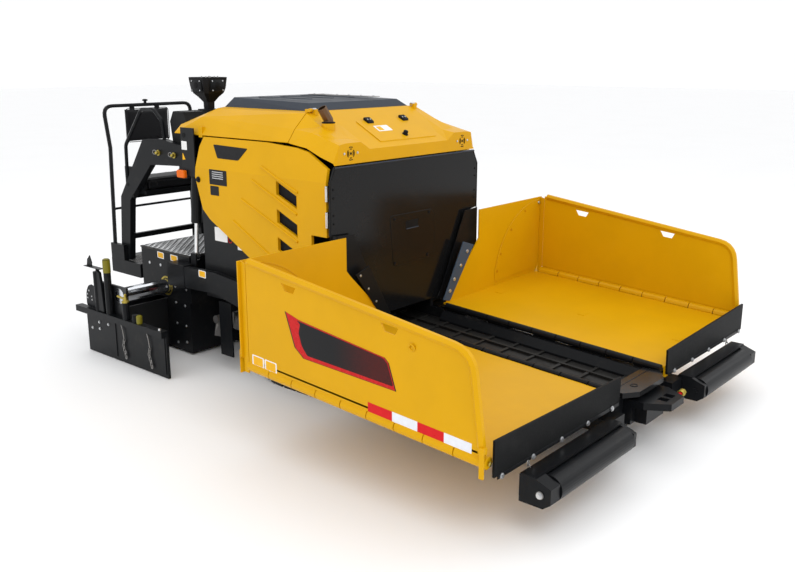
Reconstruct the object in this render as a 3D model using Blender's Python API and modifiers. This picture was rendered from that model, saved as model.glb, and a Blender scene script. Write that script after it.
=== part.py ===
"""Compact tracked asphalt paver, built as an assembly of named pieces.

Metres, +Z up, ground at Z = 0.  The machine drives towards -Y, and its right
side is -X.  Lengths along the machine are given as the distance behind the
front edge of the hopper; the origin empty turns them into world positions.
"""
import math

import bmesh
import bpy
from mathutils import Matrix, Vector

# ------------------------------------------------------------------ sizes
ORIGIN_BACK = 2.0125         # distance from hopper front edge to the origin
GAP = 0.0003                 # between pieces that rest on each other
RUNNING = 0.006              # between pieces that move past each other

HOPPER_SLOPE = math.radians(3.3)   # the hopper floor rises to the rear
HINGE_X = 0.270              # inner wing hinge
HINGE_Z = 0.385              # its height at the hopper's front edge
HINGE_RADIUS = 0.022
OUTER_HINGE_X = 1.485        # hinge between wing floor and side wall
OUTER_HINGE_RISE = 0.034     # its height over the inner hinge
OUTER_HINGE_RADIUS = 0.030
WING_LENGTH = 1.600
FLOOR_THICK = 0.010
WALL_THICK = 0.008
WALL_TOP = 1.100             # side wall height over ground at its rear end
REAR_WALL_BACK = 1.628
REAR_WALL_HALF = 1.520
RAIL_RADIUS = 0.020
FLAP_THICK = 0.012
HINGE_PARTS = 9              # knuckles of each hopper hinge

FRAME_IN = 0.255             # chassis side plates
FRAME_OUT = 0.285
FRAME_BOTTOM = 0.140
FRAME_END = 2.850
ENGINE_DECK_Z = 0.620
FRONT_FACE = 0.030           # front face of the cross member
PIN_RADIUS = 0.010           # hopper hinge pins

TRACK_IN = 0.450
TRACK_WIDTH = 0.250
IDLER_BACK = 0.620
SPROCKET_BACK = 2.280
TRACK_RADIUS = 0.200         # to the outside of the shoes
BELT_THICK = 0.022
SHOE_HEIGHT = 0.022
SHOE_COUNT = 36

BODY_BACK = 1.700            # plane of the front panel
BODY_HALF = 0.742            # outside of the side doors
HOOD_SPLIT = 2.100           # joint between front and rear hood
HOOD_END = 3.270
HOOD_TOP = 1.815
PANEL_THICK = 0.006
DOOR_THICK = 0.022
DOOR_HINGE_X = 0.748
DOOR_HINGE_BACK = 1.726
DOOR_PIN = 0.0045
DOOR_KNUCKLES = ((1.152, 1.247), (1.311, 1.404))
HOOD_PIVOT = (0.0, 2.089, 1.824)
EXHAUST_X = -0.510
EXHAUST_BACK = 1.935
EXHAUST_RADIUS = 0.030
HATCH_LOW = -0.230
HATCH_HIGH = 0.330
HATCH_PIVOT = (1.968, 1.762)

TOW_BACK = 1.950             # front pivot of the screed arms
TOW_Z = 0.400
ARM_IN = 0.745
ARM_OUT = 0.785
SCREED_HALF = 0.690
SCREED_FRONT = 3.220
SCREED_DEPTH = 0.280
SCREED_BOTTOM = 0.020
SCREED_TOP = 0.410
DECK_Z = 0.757
DECK_END = 3.810
EXTENSION_OUT = 1.080        # outer end of the extension as parked
EXTENSION_LENGTH = 0.680
GUIDE_RADIUS = 0.055
GUIDE_BACK = 3.500
GUIDE_Z = 0.490
AUGER_BACK = 3.020
AUGER_Z = 0.300
AUGER_RADIUS = 0.130

AUGER_SHAFT = 0.030
CONVEYOR_DROP = -0.094       # conveyor top under the inner hinge line
TOW_PIN = 0.024
ROLLER_BACK = -0.135         # push rollers, in front of the hopper
ROLLER_Z = 0.235
ROLLER_RADIUS = 0.065
ROLLER_AXLE = 0.014
WING_CYLINDER_BACK = 0.280   # all wing cylinder points lie in the sloping hopper frame
WING_CYLINDER_BASE = (0.335, -0.185)
WING_CYLINDER_EYE = (0.600, -0.040)
WING_BOSS = 0.032
LIFT_X = 0.675               # screed lift cylinders
LIFT_TOP = (3.065, 1.440)
LIFT_EYE = (3.130, 0.760)
LIFT_BOSS = 0.043

STATION_X = -0.620           # side arm of the operator's station
RAIL_BACK = 4.200

RIGHT, LEFT = -1, 1
SIDES = ((RIGHT, "right"), (LEFT, "left"))

# ------------------------------------------------------------------ scene
for old in list(bpy.data.objects):
    bpy.data.objects.remove(old, do_unlink=True)

PAVER = bpy.data.collections.new("asphalt_paver")
bpy.context.scene.collection.children.link(PAVER)

ORIGIN = bpy.data.objects.new("paver_origin", None)
ORIGIN.location = (0.0, -ORIGIN_BACK, 0.0)
PAVER.objects.link(ORIGIN)


def make_material(name, colour, roughness, metallic=0.0):
    material = bpy.data.materials.new(name)
    material.use_nodes = True
    shader = material.node_tree.nodes["Principled BSDF"]
    shader.inputs["Base Color"].default_value = (*colour, 1.0)
    shader.inputs["Roughness"].default_value = roughness
    shader.inputs["Metallic"].default_value = metallic
    material.diffuse_color = (*colour, 1.0)
    return material


YELLOW = make_material("yellow_paint", (0.75, 0.45, 0.01), 0.35)
BLACK = make_material("black_paint", (0.02, 0.022, 0.025), 0.45)
DARK = make_material("dark_gloss_panel", (0.03, 0.03, 0.033), 0.15)
GREY = make_material("grey_cover", (0.07, 0.08, 0.095), 0.5)
RUBBER = make_material("rubber", (0.01, 0.01, 0.01), 0.8)
CHROME = make_material("chrome_rod", (0.8, 0.8, 0.82), 0.15, 1.0)
STEEL = make_material("bare_steel", (0.35, 0.35, 0.36), 0.4, 1.0)
BRONZE = make_material("exhaust_steel", (0.35, 0.27, 0.16), 0.3, 1.0)


# ------------------------------------------------------------------ shapes
def shape_from(bm):
    """A loose mesh object in machine coordinates."""
    mesh = bpy.data.meshes.new("shape")
    bm.to_mesh(mesh)
    bm.free()
    shape = bpy.data.objects.new("shape", mesh)
    PAVER.objects.link(shape)
    return shape


def block(x, y, z):
    """A box from three (low, high) pairs, in either order."""
    bm = bmesh.new()
    bmesh.ops.create_cube(bm, size=1.0)
    size = [abs(pair[1] - pair[0]) for pair in (x, y, z)]
    centre = Vector([(pair[0] + pair[1]) / 2 for pair in (x, y, z)])
    bmesh.ops.transform(bm, verts=bm.verts, matrix=Matrix.Translation(centre) @ Matrix.Diagonal((*size,
                                                                                                 1.0)))
    return shape_from(bm)


def rod(start, end, radius, sides=16, end_radius=None):
    """A cylinder, or a cone, between two points."""
    start, end = Vector(start), Vector(end)
    bm = bmesh.new()
    bmesh.ops.create_cone(bm, cap_ends=True, segments=sides, radius1=radius,
                          radius2=radius if end_radius is None else end_radius,
                          depth=(end - start).length)
    turn = (end - start).to_track_quat("Z", "Y").to_matrix().to_4x4()
    bmesh.ops.transform(bm, verts=bm.verts, matrix=Matrix.Translation((start + end) / 2) @ turn)
    return shape_from(bm)


def solid_from_curve(curve):
    """The welded mesh of a curve object, which it replaces."""
    holder = bpy.data.objects.new("curve", curve)
    PAVER.objects.link(holder)
    bpy.context.view_layer.update()
    mesh = bpy.data.meshes.new_from_object(holder.evaluated_get(bpy.context.evaluated_depsgraph_get()))
    bpy.data.objects.remove(holder)
    bm = bmesh.new()
    bm.from_mesh(mesh)
    bmesh.ops.remove_doubles(bm, verts=bm.verts, dist=0.00001)
    bmesh.ops.recalc_face_normals(bm, faces=bm.faces)
    return shape_from(bm)


TURN_TO = {
    "X": Matrix(((0, 0, 1, 0), (1, 0, 0, 0), (0, 1, 0, 0), (0, 0, 0, 1))),   # outline (y, z)
    "Y": Matrix(((1, 0, 0, 0), (0, 0, -1, 0), (0, 1, 0, 0), (0, 0, 0, 1))),  # outline (x, z)
    "Z": Matrix.Identity(4),                                                  # outline (x, y)
}


def plate(outline, along, start, end):
    """A flat outline thickened along an axis, from start to end."""
    bm = bmesh.new()
    low, high = sorted((start, end))
    face = bm.faces.new([bm.verts.new((a, b, 0.0)) for a, b in outline])
    raised = bmesh.ops.extrude_face_region(bm, geom=[face])["geom"]
    bmesh.ops.translate(bm, verts=[v for v in raised if isinstance(v, bmesh.types.BMVert)],
                        vec=(0, 0, high - low))
    shift = Vector([low if axis == along else 0.0 for axis in "XYZ"])
    turn = TURN_TO[along]
    if along == "Y":
        shift.y = high
    bmesh.ops.transform(bm, verts=bm.verts, matrix=Matrix.Translation(shift) @ turn)
    bmesh.ops.recalc_face_normals(bm, faces=bm.faces)
    return shape_from(bm)


def pipe(points, radius, sides=3, smooth_corners=0.0):
    """A round bar along points, its corners bent to a radius."""
    path = bend_corners([Vector(p) for p in points], smooth_corners) if smooth_corners else points
    curve = bpy.data.curves.new("bar", "CURVE")
    curve.dimensions = "3D"
    curve.bevel_depth = radius
    curve.bevel_resolution = sides
    curve.use_fill_caps = True
    spline = curve.splines.new("POLY")
    spline.points.add(len(path) - 1)
    for point, place in zip(spline.points, path):
        point.co = (*place, 1.0)
    return solid_from_curve(curve)


def bend_corners(points, radius, steps=5):
    """Replaces each inner corner of a route by an arc."""
    path = [points[0]]
    for before, corner, after in zip(points, points[1:], points[2:]):
        arrive = (before - corner).normalized()
        leave = (after - corner).normalized()
        half = arrive.angle(leave) / 2
        reach = min(radius / math.tan(half), 0.45 * (before - corner).length, 0.45 * (after - corner).length)
        for step in range(steps + 1):
            t = step / steps
            path.append(corner + arrive * reach * (1 - t) ** 2 + leave * reach * t ** 2)
    path.append(points[-1])
    return path


def skin(rows, thickness):
    """A mirrored panel through rows of half-section points, with its thickness inwards."""
    bm = bmesh.new()
    grid = [[bm.verts.new(point) for point in row] for row in rows]
    for upper, lower in zip(grid, grid[1:]):
        for column in range(len(upper) - 1):
            bm.faces.new((upper[column], upper[column + 1], lower[column + 1], lower[column]))
    shape = shape_from(bm)
    mirror = shape.modifiers.new("mirror", "MIRROR")
    mirror.merge_threshold = 0.0001
    shell = shape.modifiers.new("thickness", "SOLIDIFY")
    shell.thickness = thickness
    shell.offset = -1.0
    shell.use_even_offset = True
    return applied(shape)


def applied(shape):
    """The shape with its modifiers made real."""
    bpy.context.view_layer.update()
    mesh = bpy.data.meshes.new_from_object(shape.evaluated_get(bpy.context.evaluated_depsgraph_get()))
    shape.modifiers.clear()
    shape.data = mesh
    bm = bmesh.new()
    bm.from_mesh(mesh)
    bmesh.ops.remove_doubles(bm, verts=bm.verts, dist=0.00001)
    bm.to_mesh(mesh)
    bm.free()
    return shape


def combine(shapes, operation):
    """The first shape with the others joined to it or cut from it."""
    base, *others = shapes
    for other in others:
        step = base.modifiers.new(operation.lower(), "BOOLEAN")
        step.operation = operation
        step.solver = "EXACT"
        step.object = other
    applied(base)
    for other in others:
        bpy.data.objects.remove(other)
    return base


def join(*shapes):
    return combine(shapes, "UNION") if len(shapes) > 1 else shapes[0]


def cut(base, *cutters):
    return combine((base, *cutters), "DIFFERENCE")


def tilt(shape):
    """Turns a shape from the level hopper frame onto the sloping hinge line."""
    shape.data.transform(Matrix.Translation((0, 0, HINGE_Z)) @ Matrix.Rotation(HOPPER_SLOPE, 4, "X"))
    return shape


def on_slope(x, along, rise=0.0):
    """A point given in the sloping hopper frame."""
    return tuple(Matrix.Translation((0, 0, HINGE_Z)) @ Matrix.Rotation(HOPPER_SLOPE, 4, "X")
                 @ Vector((x, along, rise)))


def both_ways(side, pairs):
    """An outline whose x values are put on one side of the machine."""
    return [(side * a, b) for a, b in pairs]


PIVOTS = {}


def pivot(name, place):
    """The empty on a joint's axis that carries the pieces of a moving body."""
    empty = bpy.data.objects.new(name, None)
    empty.location = place
    empty.parent = ORIGIN
    PAVER.objects.link(empty)
    PIVOTS[name] = Vector(place)
    return empty


def node(name, shape, material, carrier=None):
    """Names a finished piece and hangs it on the machine or on a moving body's pivot."""
    shape.name = name
    shape.data.name = name
    shape.data.materials.clear()
    shape.data.materials.append(material)
    if carrier:
        shape.data.transform(Matrix.Translation(-PIVOTS[carrier.name]))
        shape.parent = carrier
    else:
        shape.parent = ORIGIN
    shape.data.shade_smooth()
    shape.data.set_sharp_from_angle(angle=math.radians(35))
    return shape


# ------------------------------------------------------------------ chassis
HINGE_START = 0.010
HINGE_PITCH = (WING_LENGTH - HINGE_START) / HINGE_PARTS


def knuckles(x, rise, radius, odd, bored=False):
    """Alternate segments of a hinge along the hopper, in the sloping frame."""
    gap = 0.003
    segments = []
    for i in range(HINGE_PARTS):
        if i % 2 == (1 if odd else 0):
            start, end = HINGE_START + i * HINGE_PITCH + gap, HINGE_START + (i + 1) * HINGE_PITCH - gap
            tube = rod((x, start, rise), (x, end, rise), radius, 12)
            if bored:
                tube = cut(tube, rod((x, start - 0.01, rise), (x, end + 0.01, rise),
                                     PIN_RADIUS + 2 * GAP, 12))
            segments.append(tilt(tube))
    return segments


def hinge_pin(x, rise):
    """The pin through all the knuckles of one hopper hinge."""
    return tilt(rod((x, HINGE_START + 0.005, rise), (x, WING_LENGTH - 0.005, rise), PIN_RADIUS, 12))


def knuckle_webs(x, rise, odd):
    """Straps from alternate knuckles to the plate that carries them."""
    gap = 0.008
    return [tilt(block(x, (HINGE_START + i * HINGE_PITCH + gap,
                           HINGE_START + (i + 1) * HINGE_PITCH - gap), rise))
            for i in range(HINGE_PARTS) if i % 2 == (1 if odd else 0)]


def make_chassis():
    slope = math.tan(HOPPER_SLOPE)
    step_back = 1.725
    rail_drop = 0.030
    outline = [(FRONT_FACE, FRAME_BOTTOM), (FRONT_FACE, HINGE_Z + slope * FRONT_FACE - rail_drop),
               (step_back, HINGE_Z + slope * step_back - rail_drop), (step_back, ENGINE_DECK_Z),
               (FRAME_END, ENGINE_DECK_Z), (FRAME_END, FRAME_BOTTOM + 0.080),
               (FRAME_END - 0.250, FRAME_BOTTOM)]
    mid = (FRAME_IN + FRAME_OUT) / 2
    pieces = [block((-mid, mid), (FRONT_FACE + 0.001, FRAME_END - 0.260),
                    (FRAME_BOTTOM + 0.001, FRAME_BOTTOM + 0.012)),
              block((-0.400, 0.400), (FRONT_FACE - 0.0005, 0.100), (0.160, HINGE_Z - 0.035)),
              block((-mid, mid), (FRAME_END - 0.030, FRAME_END - 0.001), (0.540, ENGINE_DECK_Z - 0.001))]
    for side, _ in SIDES:
        pieces.append(plate(outline, "X", side * FRAME_IN, side * FRAME_OUT))
        pieces += knuckles(side * HINGE_X, 0.0, HINGE_RADIUS, odd=False)
        pieces.append(hinge_pin(side * HINGE_X, 0.0))
        pieces += knuckle_webs((side * (HINGE_X - 0.008), side * (HINGE_X + 0.008)), (-0.050, -0.005),
                               odd=False)
        pieces += tow_point(side)
        pieces += auger_side_guard(side)
        pieces.append(tilt(block((side * (FRAME_OUT - 0.010), side * 0.375),
                                 (WING_CYLINDER_BACK + WING_BOSS + GAP,
                                  WING_CYLINDER_BACK + WING_BOSS + 0.014),
                                 (WING_CYLINDER_BASE[1] - 0.050, WING_CYLINDER_BASE[1] + 0.035))))
    pieces.append(block((-0.030, 0.030), (FRAME_END - 0.010, AUGER_BACK + 0.050), (AUGER_Z - 0.060, 0.600)))
    frame = join(*pieces)
    bore = rod((-0.050, AUGER_BACK, AUGER_Z), (0.050, AUGER_BACK, AUGER_Z), AUGER_SHAFT + 2 * GAP)
    node("chassis_frame", cut(frame, bore), BLACK)


def tow_point(side):
    """Outrigger over the track that carries the pivot of a screed arm."""
    low = 2 * TRACK_RADIUS + 0.015
    plate_in, plate_out = ARM_IN - 0.035, ARM_IN - GAP
    return [block((side * (FRAME_OUT - 0.010), side * (plate_out - 0.001)),
                  (TOW_BACK - 0.060, TOW_BACK + 0.060),
                  (low, low + 0.080)),
            block((side * plate_in, side * plate_out), (TOW_BACK - 0.055, TOW_BACK + 0.055),
                  (TOW_Z - 0.060, low + 0.070)),
            rod((side * (plate_in + 0.005), TOW_BACK, TOW_Z),
                (side * (ARM_OUT + 0.012), TOW_BACK, TOW_Z), TOW_PIN)]


def auger_side_guard(side):
    """Plate outside the track that keeps the material in front of the screed."""
    return [block((side * (FRAME_OUT - 0.010), side * 0.729), (2.701, 2.829), (0.440, 0.495)),
            block((side * 0.718, side * 0.730), (2.700, 2.830), (0.110, 0.498))]


def make_conveyor():
    """Slat conveyor deck in its channel, with a sloping guard on each side."""
    half = FRAME_IN - GAP
    top = CONVEYOR_DROP
    pieces = [block((-half, half), (0.110, 2.780), (top - 0.018, top))]
    for side, _ in SIDES:
        pieces.append(block((side * 0.085, side * 0.105), (0.130, 2.760), (top - 0.004, top + 0.016)))
    count, pitch = 14, 0.190
    for i in range(count):
        back = 0.180 + i * pitch
        pieces.append(block((-0.200, 0.200), (back, back + 0.020), (top - 0.005, top + 0.012)))
    node("conveyor_deck", tilt(join(*pieces)), BLACK)
    for side, tag in SIDES:
        outline = both_ways(side, [(half, -0.030), (0.240, -0.030), (0.202, -0.080),
                                   (0.202, top + GAP), (half, top + GAP)])
        guard = tilt(plate(outline, "Y", 0.115, 1.600))
        node(f"conveyor_guard_{tag}", guard, BLACK)


def make_front():
    deck_top = HINGE_Z - 0.004
    shelf = HINGE_Z - 0.035 + GAP
    deck = join(plate([(-0.235, 0.105), (-0.235, 0.000), (-0.150, -0.060), (0.150, -0.060), (0.235, 0.000),
                       (0.235, 0.105)], "Z", deck_top - 0.030, deck_top),
                block((-0.234, 0.234), (FRONT_FACE + 0.002, 0.100), (shelf, deck_top - 0.010)))
    node("front_deck", deck, DARK)
    back = FRONT_FACE - 0.0005 - GAP
    hook = join(plate([(-0.160, back - 0.001), (-0.160, -0.090), (-0.080, -0.215), (0.080, -0.215),
                       (0.160, -0.090),
                       (0.160, back - 0.001)], "Z", 0.285, 0.325),
                block((-0.110, 0.110), (-0.090, back - 0.002), (0.182, 0.300)),
                block((-0.161, 0.161), (-0.020, back), (0.180, 0.3255)))
    hook = cut(hook, block((-0.060, -0.012), (-0.175, -0.120), (0.270, 0.340)),
               block((0.012, 0.060), (-0.175, -0.120), (0.270, 0.340)))
    node("tow_hook", hook, BLACK)
    for side, tag in SIDES:
        make_push_roller(side, tag, back)


def make_push_roller(side, tag, back):
    inner, outer = 0.440, 1.190
    rear = -0.022
    beam = block((side * inner, side * (outer + 0.090)), (-0.060, rear), (0.200, 0.305))
    end = [(rear - 0.0005, 0.170), (rear - 0.0005, 0.3045), (-0.110, 0.3045), (-0.190, 0.275),
           (-0.190, 0.200), (-0.150, 0.170)]
    lip = block((side * (inner + 0.001), side * (outer + 0.089)), (-0.110, rear - 0.004), (0.300, 0.312))
    cheek_in = plate(end, "X", side * (inner + 0.0005), side * (inner + 0.030))
    cheek_out = plate(end, "X", side * (outer + 0.010), side * (outer + 0.0895))
    arm = block((side * 0.300, side * (inner + 0.020)), (-0.050, back), (0.182, 0.298))
    housing = join(beam, lip, cheek_in, cheek_out, arm)
    bore = rod((side * (inner - 0.010), ROLLER_BACK, ROLLER_Z),
               (side * (outer + 0.100), ROLLER_BACK, ROLLER_Z),
               ROLLER_AXLE + 2 * GAP)
    node(f"push_roller_housing_{tag}", cut(housing, bore), BLACK)
    drum = rod((side * (inner + 0.036), ROLLER_BACK, ROLLER_Z),
               (side * (outer + 0.004), ROLLER_BACK, ROLLER_Z),
               ROLLER_RADIUS, 32)
    axle = rod((side * (inner - 0.006), ROLLER_BACK, ROLLER_Z),
               (side * (outer + 0.098), ROLLER_BACK, ROLLER_Z), ROLLER_AXLE)
    carrier = pivot(f"push_roller_{tag}_axis", (side * (inner + outer) / 2, ROLLER_BACK, ROLLER_Z))
    node(f"push_roller_{tag}", join(drum, axle), BLACK, carrier)


# ------------------------------------------------------------------ tracks
def racetrack(radius, arc_steps=14):
    """The loop that a belt of this radius takes round idler and sprocket."""
    centre_z = TRACK_RADIUS
    points = []
    for step in range(arc_steps + 1):
        angle = math.pi / 2 + math.pi * step / arc_steps
        points.append((IDLER_BACK + radius * math.cos(angle), centre_z + radius * math.sin(angle)))
    for step in range(arc_steps + 1):
        angle = -math.pi / 2 + math.pi * step / arc_steps
        points.append((SPROCKET_BACK + radius * math.cos(angle), centre_z + radius * math.sin(angle)))
    return points


def shoe_outline():
    """The belt's outer outline, with a raised shoe at every pitch."""
    straight = SPROCKET_BACK - IDLER_BACK
    belt = TRACK_RADIUS - SHOE_HEIGHT
    length = 2 * straight + 2 * math.pi * belt
    outline = []
    for i in range(SHOE_COUNT):
        for share, height in ((0.04, 0.0), (0.10, SHOE_HEIGHT), (0.90, SHOE_HEIGHT), (0.96, 0.0)):
            outline.append(loop_point((i + share) * length / SHOE_COUNT, belt, height, straight))
    return outline


def loop_point(distance, radius, height, straight):
    """A point on the belt, a height outside it: top run, front arc, bottom run, rear arc."""
    arc = math.pi * radius
    reach = radius + height
    if distance < straight:
        return (SPROCKET_BACK - distance, TRACK_RADIUS + reach)
    distance -= straight
    if distance < arc:
        angle = math.pi / 2 + distance / radius
        return (IDLER_BACK + reach * math.cos(angle), TRACK_RADIUS + reach * math.sin(angle))
    distance -= arc
    if distance < straight:
        return (IDLER_BACK + distance, TRACK_RADIUS - reach)
    angle = -math.pi / 2 + (distance - straight) / radius
    return (SPROCKET_BACK + reach * math.cos(angle), TRACK_RADIUS + reach * math.sin(angle))


def make_tracks():
    inner = TRACK_RADIUS - SHOE_HEIGHT - BELT_THICK
    for side, tag in SIDES:
        near, far = side * TRACK_IN, side * (TRACK_IN + TRACK_WIDTH)
        loop = cut(plate(shoe_outline(), "X", near, far),
                   plate(racetrack(inner), "X", near - side * 0.01, far + side * 0.01))
        node(f"track_{tag}", loop, RUBBER)
        wheel = inner * math.cos(math.pi / 28) - GAP
        wheel_in, wheel_out = side * (TRACK_IN + 0.035), side * (TRACK_IN + TRACK_WIDTH - 0.035)
        beam_in, beam_out = side * (TRACK_IN + 0.070), side * (TRACK_IN + TRACK_WIDTH - 0.070)
        roller_radius = 0.050
        roller_z = TRACK_RADIUS - inner + GAP + roller_radius
        pieces = [block((beam_in, beam_out), (IDLER_BACK + 0.080, SPROCKET_BACK - 0.080), (0.130, 0.265)),
                  rod((wheel_in, IDLER_BACK, TRACK_RADIUS), (wheel_out, IDLER_BACK, TRACK_RADIUS), wheel,
                      40),
                  rod((wheel_in, SPROCKET_BACK, TRACK_RADIUS), (wheel_out, SPROCKET_BACK, TRACK_RADIUS),
                      wheel, 40)]
        for i in range(5):
            back = IDLER_BACK + 0.300 + i * 0.265
            pieces.append(rod((wheel_in, back, roller_z), (wheel_out, back, roller_z), roller_radius))
        top_z = TRACK_RADIUS + inner - GAP - 0.035
        pieces.append(rod((wheel_in, 1.450, top_z), (wheel_out, 1.450, top_z), 0.035))
        pieces.append(block((side * (TRACK_IN + 0.080), side * (TRACK_IN + 0.100)), (1.435, 1.465),
                            (0.250, top_z)))
        for back in (0.900, 1.900):
            pieces.append(block((side * (FRAME_OUT + GAP), side * (TRACK_IN + 0.090)),
                                (back, back + 0.140), (0.160, 0.250)))
        node(f"track_frame_{tag}", join(*pieces), BLACK)


# ------------------------------------------------------------------ hopper
def make_wings():
    floor_in, floor_out = HINGE_X + HINGE_RADIUS + RUNNING, OUTER_HINGE_X - OUTER_HINGE_RADIUS - 0.010
    for side, tag in SIDES:
        carrier = pivot(f"wing_{tag}_axis", on_slope(side * HINGE_X, WING_LENGTH / 2))
        low_in, low_out = -0.004, 0.020
        floor = plate(both_ways(side, [(floor_in, low_in), (floor_out, low_out),
                                       (floor_out, low_out + FLOOR_THICK),
                                       (floor_in, low_in + FLOOR_THICK)]),
                      "Y", 0.004, 1.645)
        pieces = [tilt(floor)]
        pieces += knuckles(side * HINGE_X, 0.0, HINGE_RADIUS, odd=True, bored=True)
        pieces += knuckle_webs((side * (HINGE_X + PIN_RADIUS + 0.004), side * (floor_in + 0.010)),
                               (-0.003, 0.005), odd=True)
        pieces += knuckles(side * OUTER_HINGE_X, OUTER_HINGE_RISE, OUTER_HINGE_RADIUS, odd=True)
        pieces.append(hinge_pin(side * OUTER_HINGE_X, OUTER_HINGE_RISE))
        pieces += knuckle_webs((side * (floor_out - 0.010), side * OUTER_HINGE_X), (0.021, 0.029), odd=True)
        for start in (0.120, 0.800, 1.480):
            pieces.append(tilt(block((side * 0.760, side * 1.420), (start, start + 0.050), (-0.035, 0.018))))
        pieces.append(plate(both_ways(side, [(0.302, 0.325), (0.302, 0.386), (1.440, 0.409),
                                             (1.440, 0.345)]),
                            "Y", -0.0022, 0.012))
        foot = HINGE_Z + REAR_WALL_BACK * math.tan(HOPPER_SLOPE) - 0.003
        pieces.append(plate(both_ways(side, [(0.315, foot), (0.315, foot + 0.044), (0.650, 0.850),
                                             (0.685, 0.890), (0.685, 1.095),
                                             (REAR_WALL_HALF, 1.095), (REAR_WALL_HALF, foot + 0.084),
                                             (1.440, foot + 0.032)]),
                            "Y", REAR_WALL_BACK, REAR_WALL_BACK + WALL_THICK))
        eye_x, eye_rise = WING_CYLINDER_EYE
        lug_front = WING_CYLINDER_BACK + 0.0140 + GAP
        pieces.append(tilt(block((side * (eye_x - 0.025), side * (eye_x + 0.025)),
                                 (lug_front, lug_front + 0.014),
                                 (eye_rise - 0.022, 0.004))))
        node(f"hopper_wing_{tag}", join(*pieces), YELLOW, carrier)
        flap = plate(both_ways(side, [(0.300, 0.345), (0.292, 0.495), (1.472, 0.528), (1.472, 0.352)]),
                     "Y", -0.0025 - FLAP_THICK, -0.0025)
        node(f"hopper_flap_{tag}", flap, RUBBER, carrier)


def make_side_walls():
    x_in, x_out = OUTER_HINGE_X + 0.009, OUTER_HINGE_X + 0.009 + WALL_THICK
    rear = 1.585
    hinge_front = HINGE_Z + OUTER_HINGE_RISE
    slope = math.tan(HOPPER_SLOPE)
    lift = OUTER_HINGE_RADIUS + 0.007
    for side, tag in SIDES:
        carrier = pivot(f"side_wall_{tag}_axis", on_slope(side * OUTER_HINGE_X, WING_LENGTH / 2,
                                                          OUTER_HINGE_RISE))
        sheet = plate([(0.022, hinge_front + lift), (0.090, 0.860), (0.200, 0.935), (rear, WALL_TOP),
                       (rear, hinge_front + lift + slope * rear)], "X", side * x_in, side * x_out)
        rail_x = side * (x_in + x_out) / 2
        rail = pipe([(rail_x, 0.0345, hinge_front + 0.045), (rail_x, 0.098, 0.915),
                     (rail_x, rear - 0.022, WALL_TOP)],
                    RAIL_RADIUS, 1, 0.130)
        post = plate([(0.010, hinge_front - 0.065), (0.010, 0.500), (0.034, 0.500),
                      (0.034, hinge_front - 0.065)], "X",
                     side * (x_in + 0.0215), side * (x_in + 0.030))
        post_arm = block((side * (x_in + 0.001), side * (x_in + 0.029)), (0.0105, 0.0335), (0.470, 0.499))
        pieces = [sheet, rail, post, post_arm]
        pieces += knuckles(side * OUTER_HINGE_X, OUTER_HINGE_RISE, OUTER_HINGE_RADIUS, odd=False, bored=True)
        pieces += knuckle_webs((side * (x_in + 0.003), side * (x_out - 0.001)),
                               (OUTER_HINGE_RISE + 0.013, 0.090), odd=False)
        wall = join(*pieces)
        holes = []
        for back, z in ((1.255, 1.016), (0.570, 0.940)):
            holes.append(plate([(back + 0.055, z + 0.010), (back - 0.055, z), (back - 0.035, z - 0.036),
                                (back + 0.030, z - 0.030)], "X", side * (x_in - 0.01),
                               side * (x_out + 0.01)))
        node(f"hopper_side_wall_{tag}", cut(wall, *holes), YELLOW, carrier)


def make_wing_cylinders():
    for side, tag in SIDES:
        base = Vector((side * WING_CYLINDER_BASE[0], WING_CYLINDER_BACK, WING_CYLINDER_BASE[1]))
        eye = Vector((side * WING_CYLINDER_EYE[0], WING_CYLINDER_BACK, WING_CYLINDER_EYE[1]))
        way = (eye - base).normalized()
        across = Vector((0, 1, 0))
        barrel_axis = pivot(f"wing_cylinder_{tag}_axis", on_slope(*base))
        tube = rod(base, base + way * 0.235, 0.028)
        boss = rod(base - across * WING_BOSS, base + across * WING_BOSS, 0.024)
        bore = rod(base + way * 0.045, base + way * 0.245, 0.013 + 2 * GAP)
        node(f"wing_cylinder_{tag}", tilt(cut(join(tube, boss), bore)), BLACK, barrel_axis)
        rod_axis = pivot(f"wing_cylinder_rod_{tag}_axis", on_slope(*eye))
        shaft = rod(base + way * 0.060, eye, 0.013)
        ring = rod(eye - across * 0.0140, eye + across * 0.0140, 0.021)
        node(f"wing_cylinder_rod_{tag}", tilt(join(shaft, ring)), CHROME, rod_axis)


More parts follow.
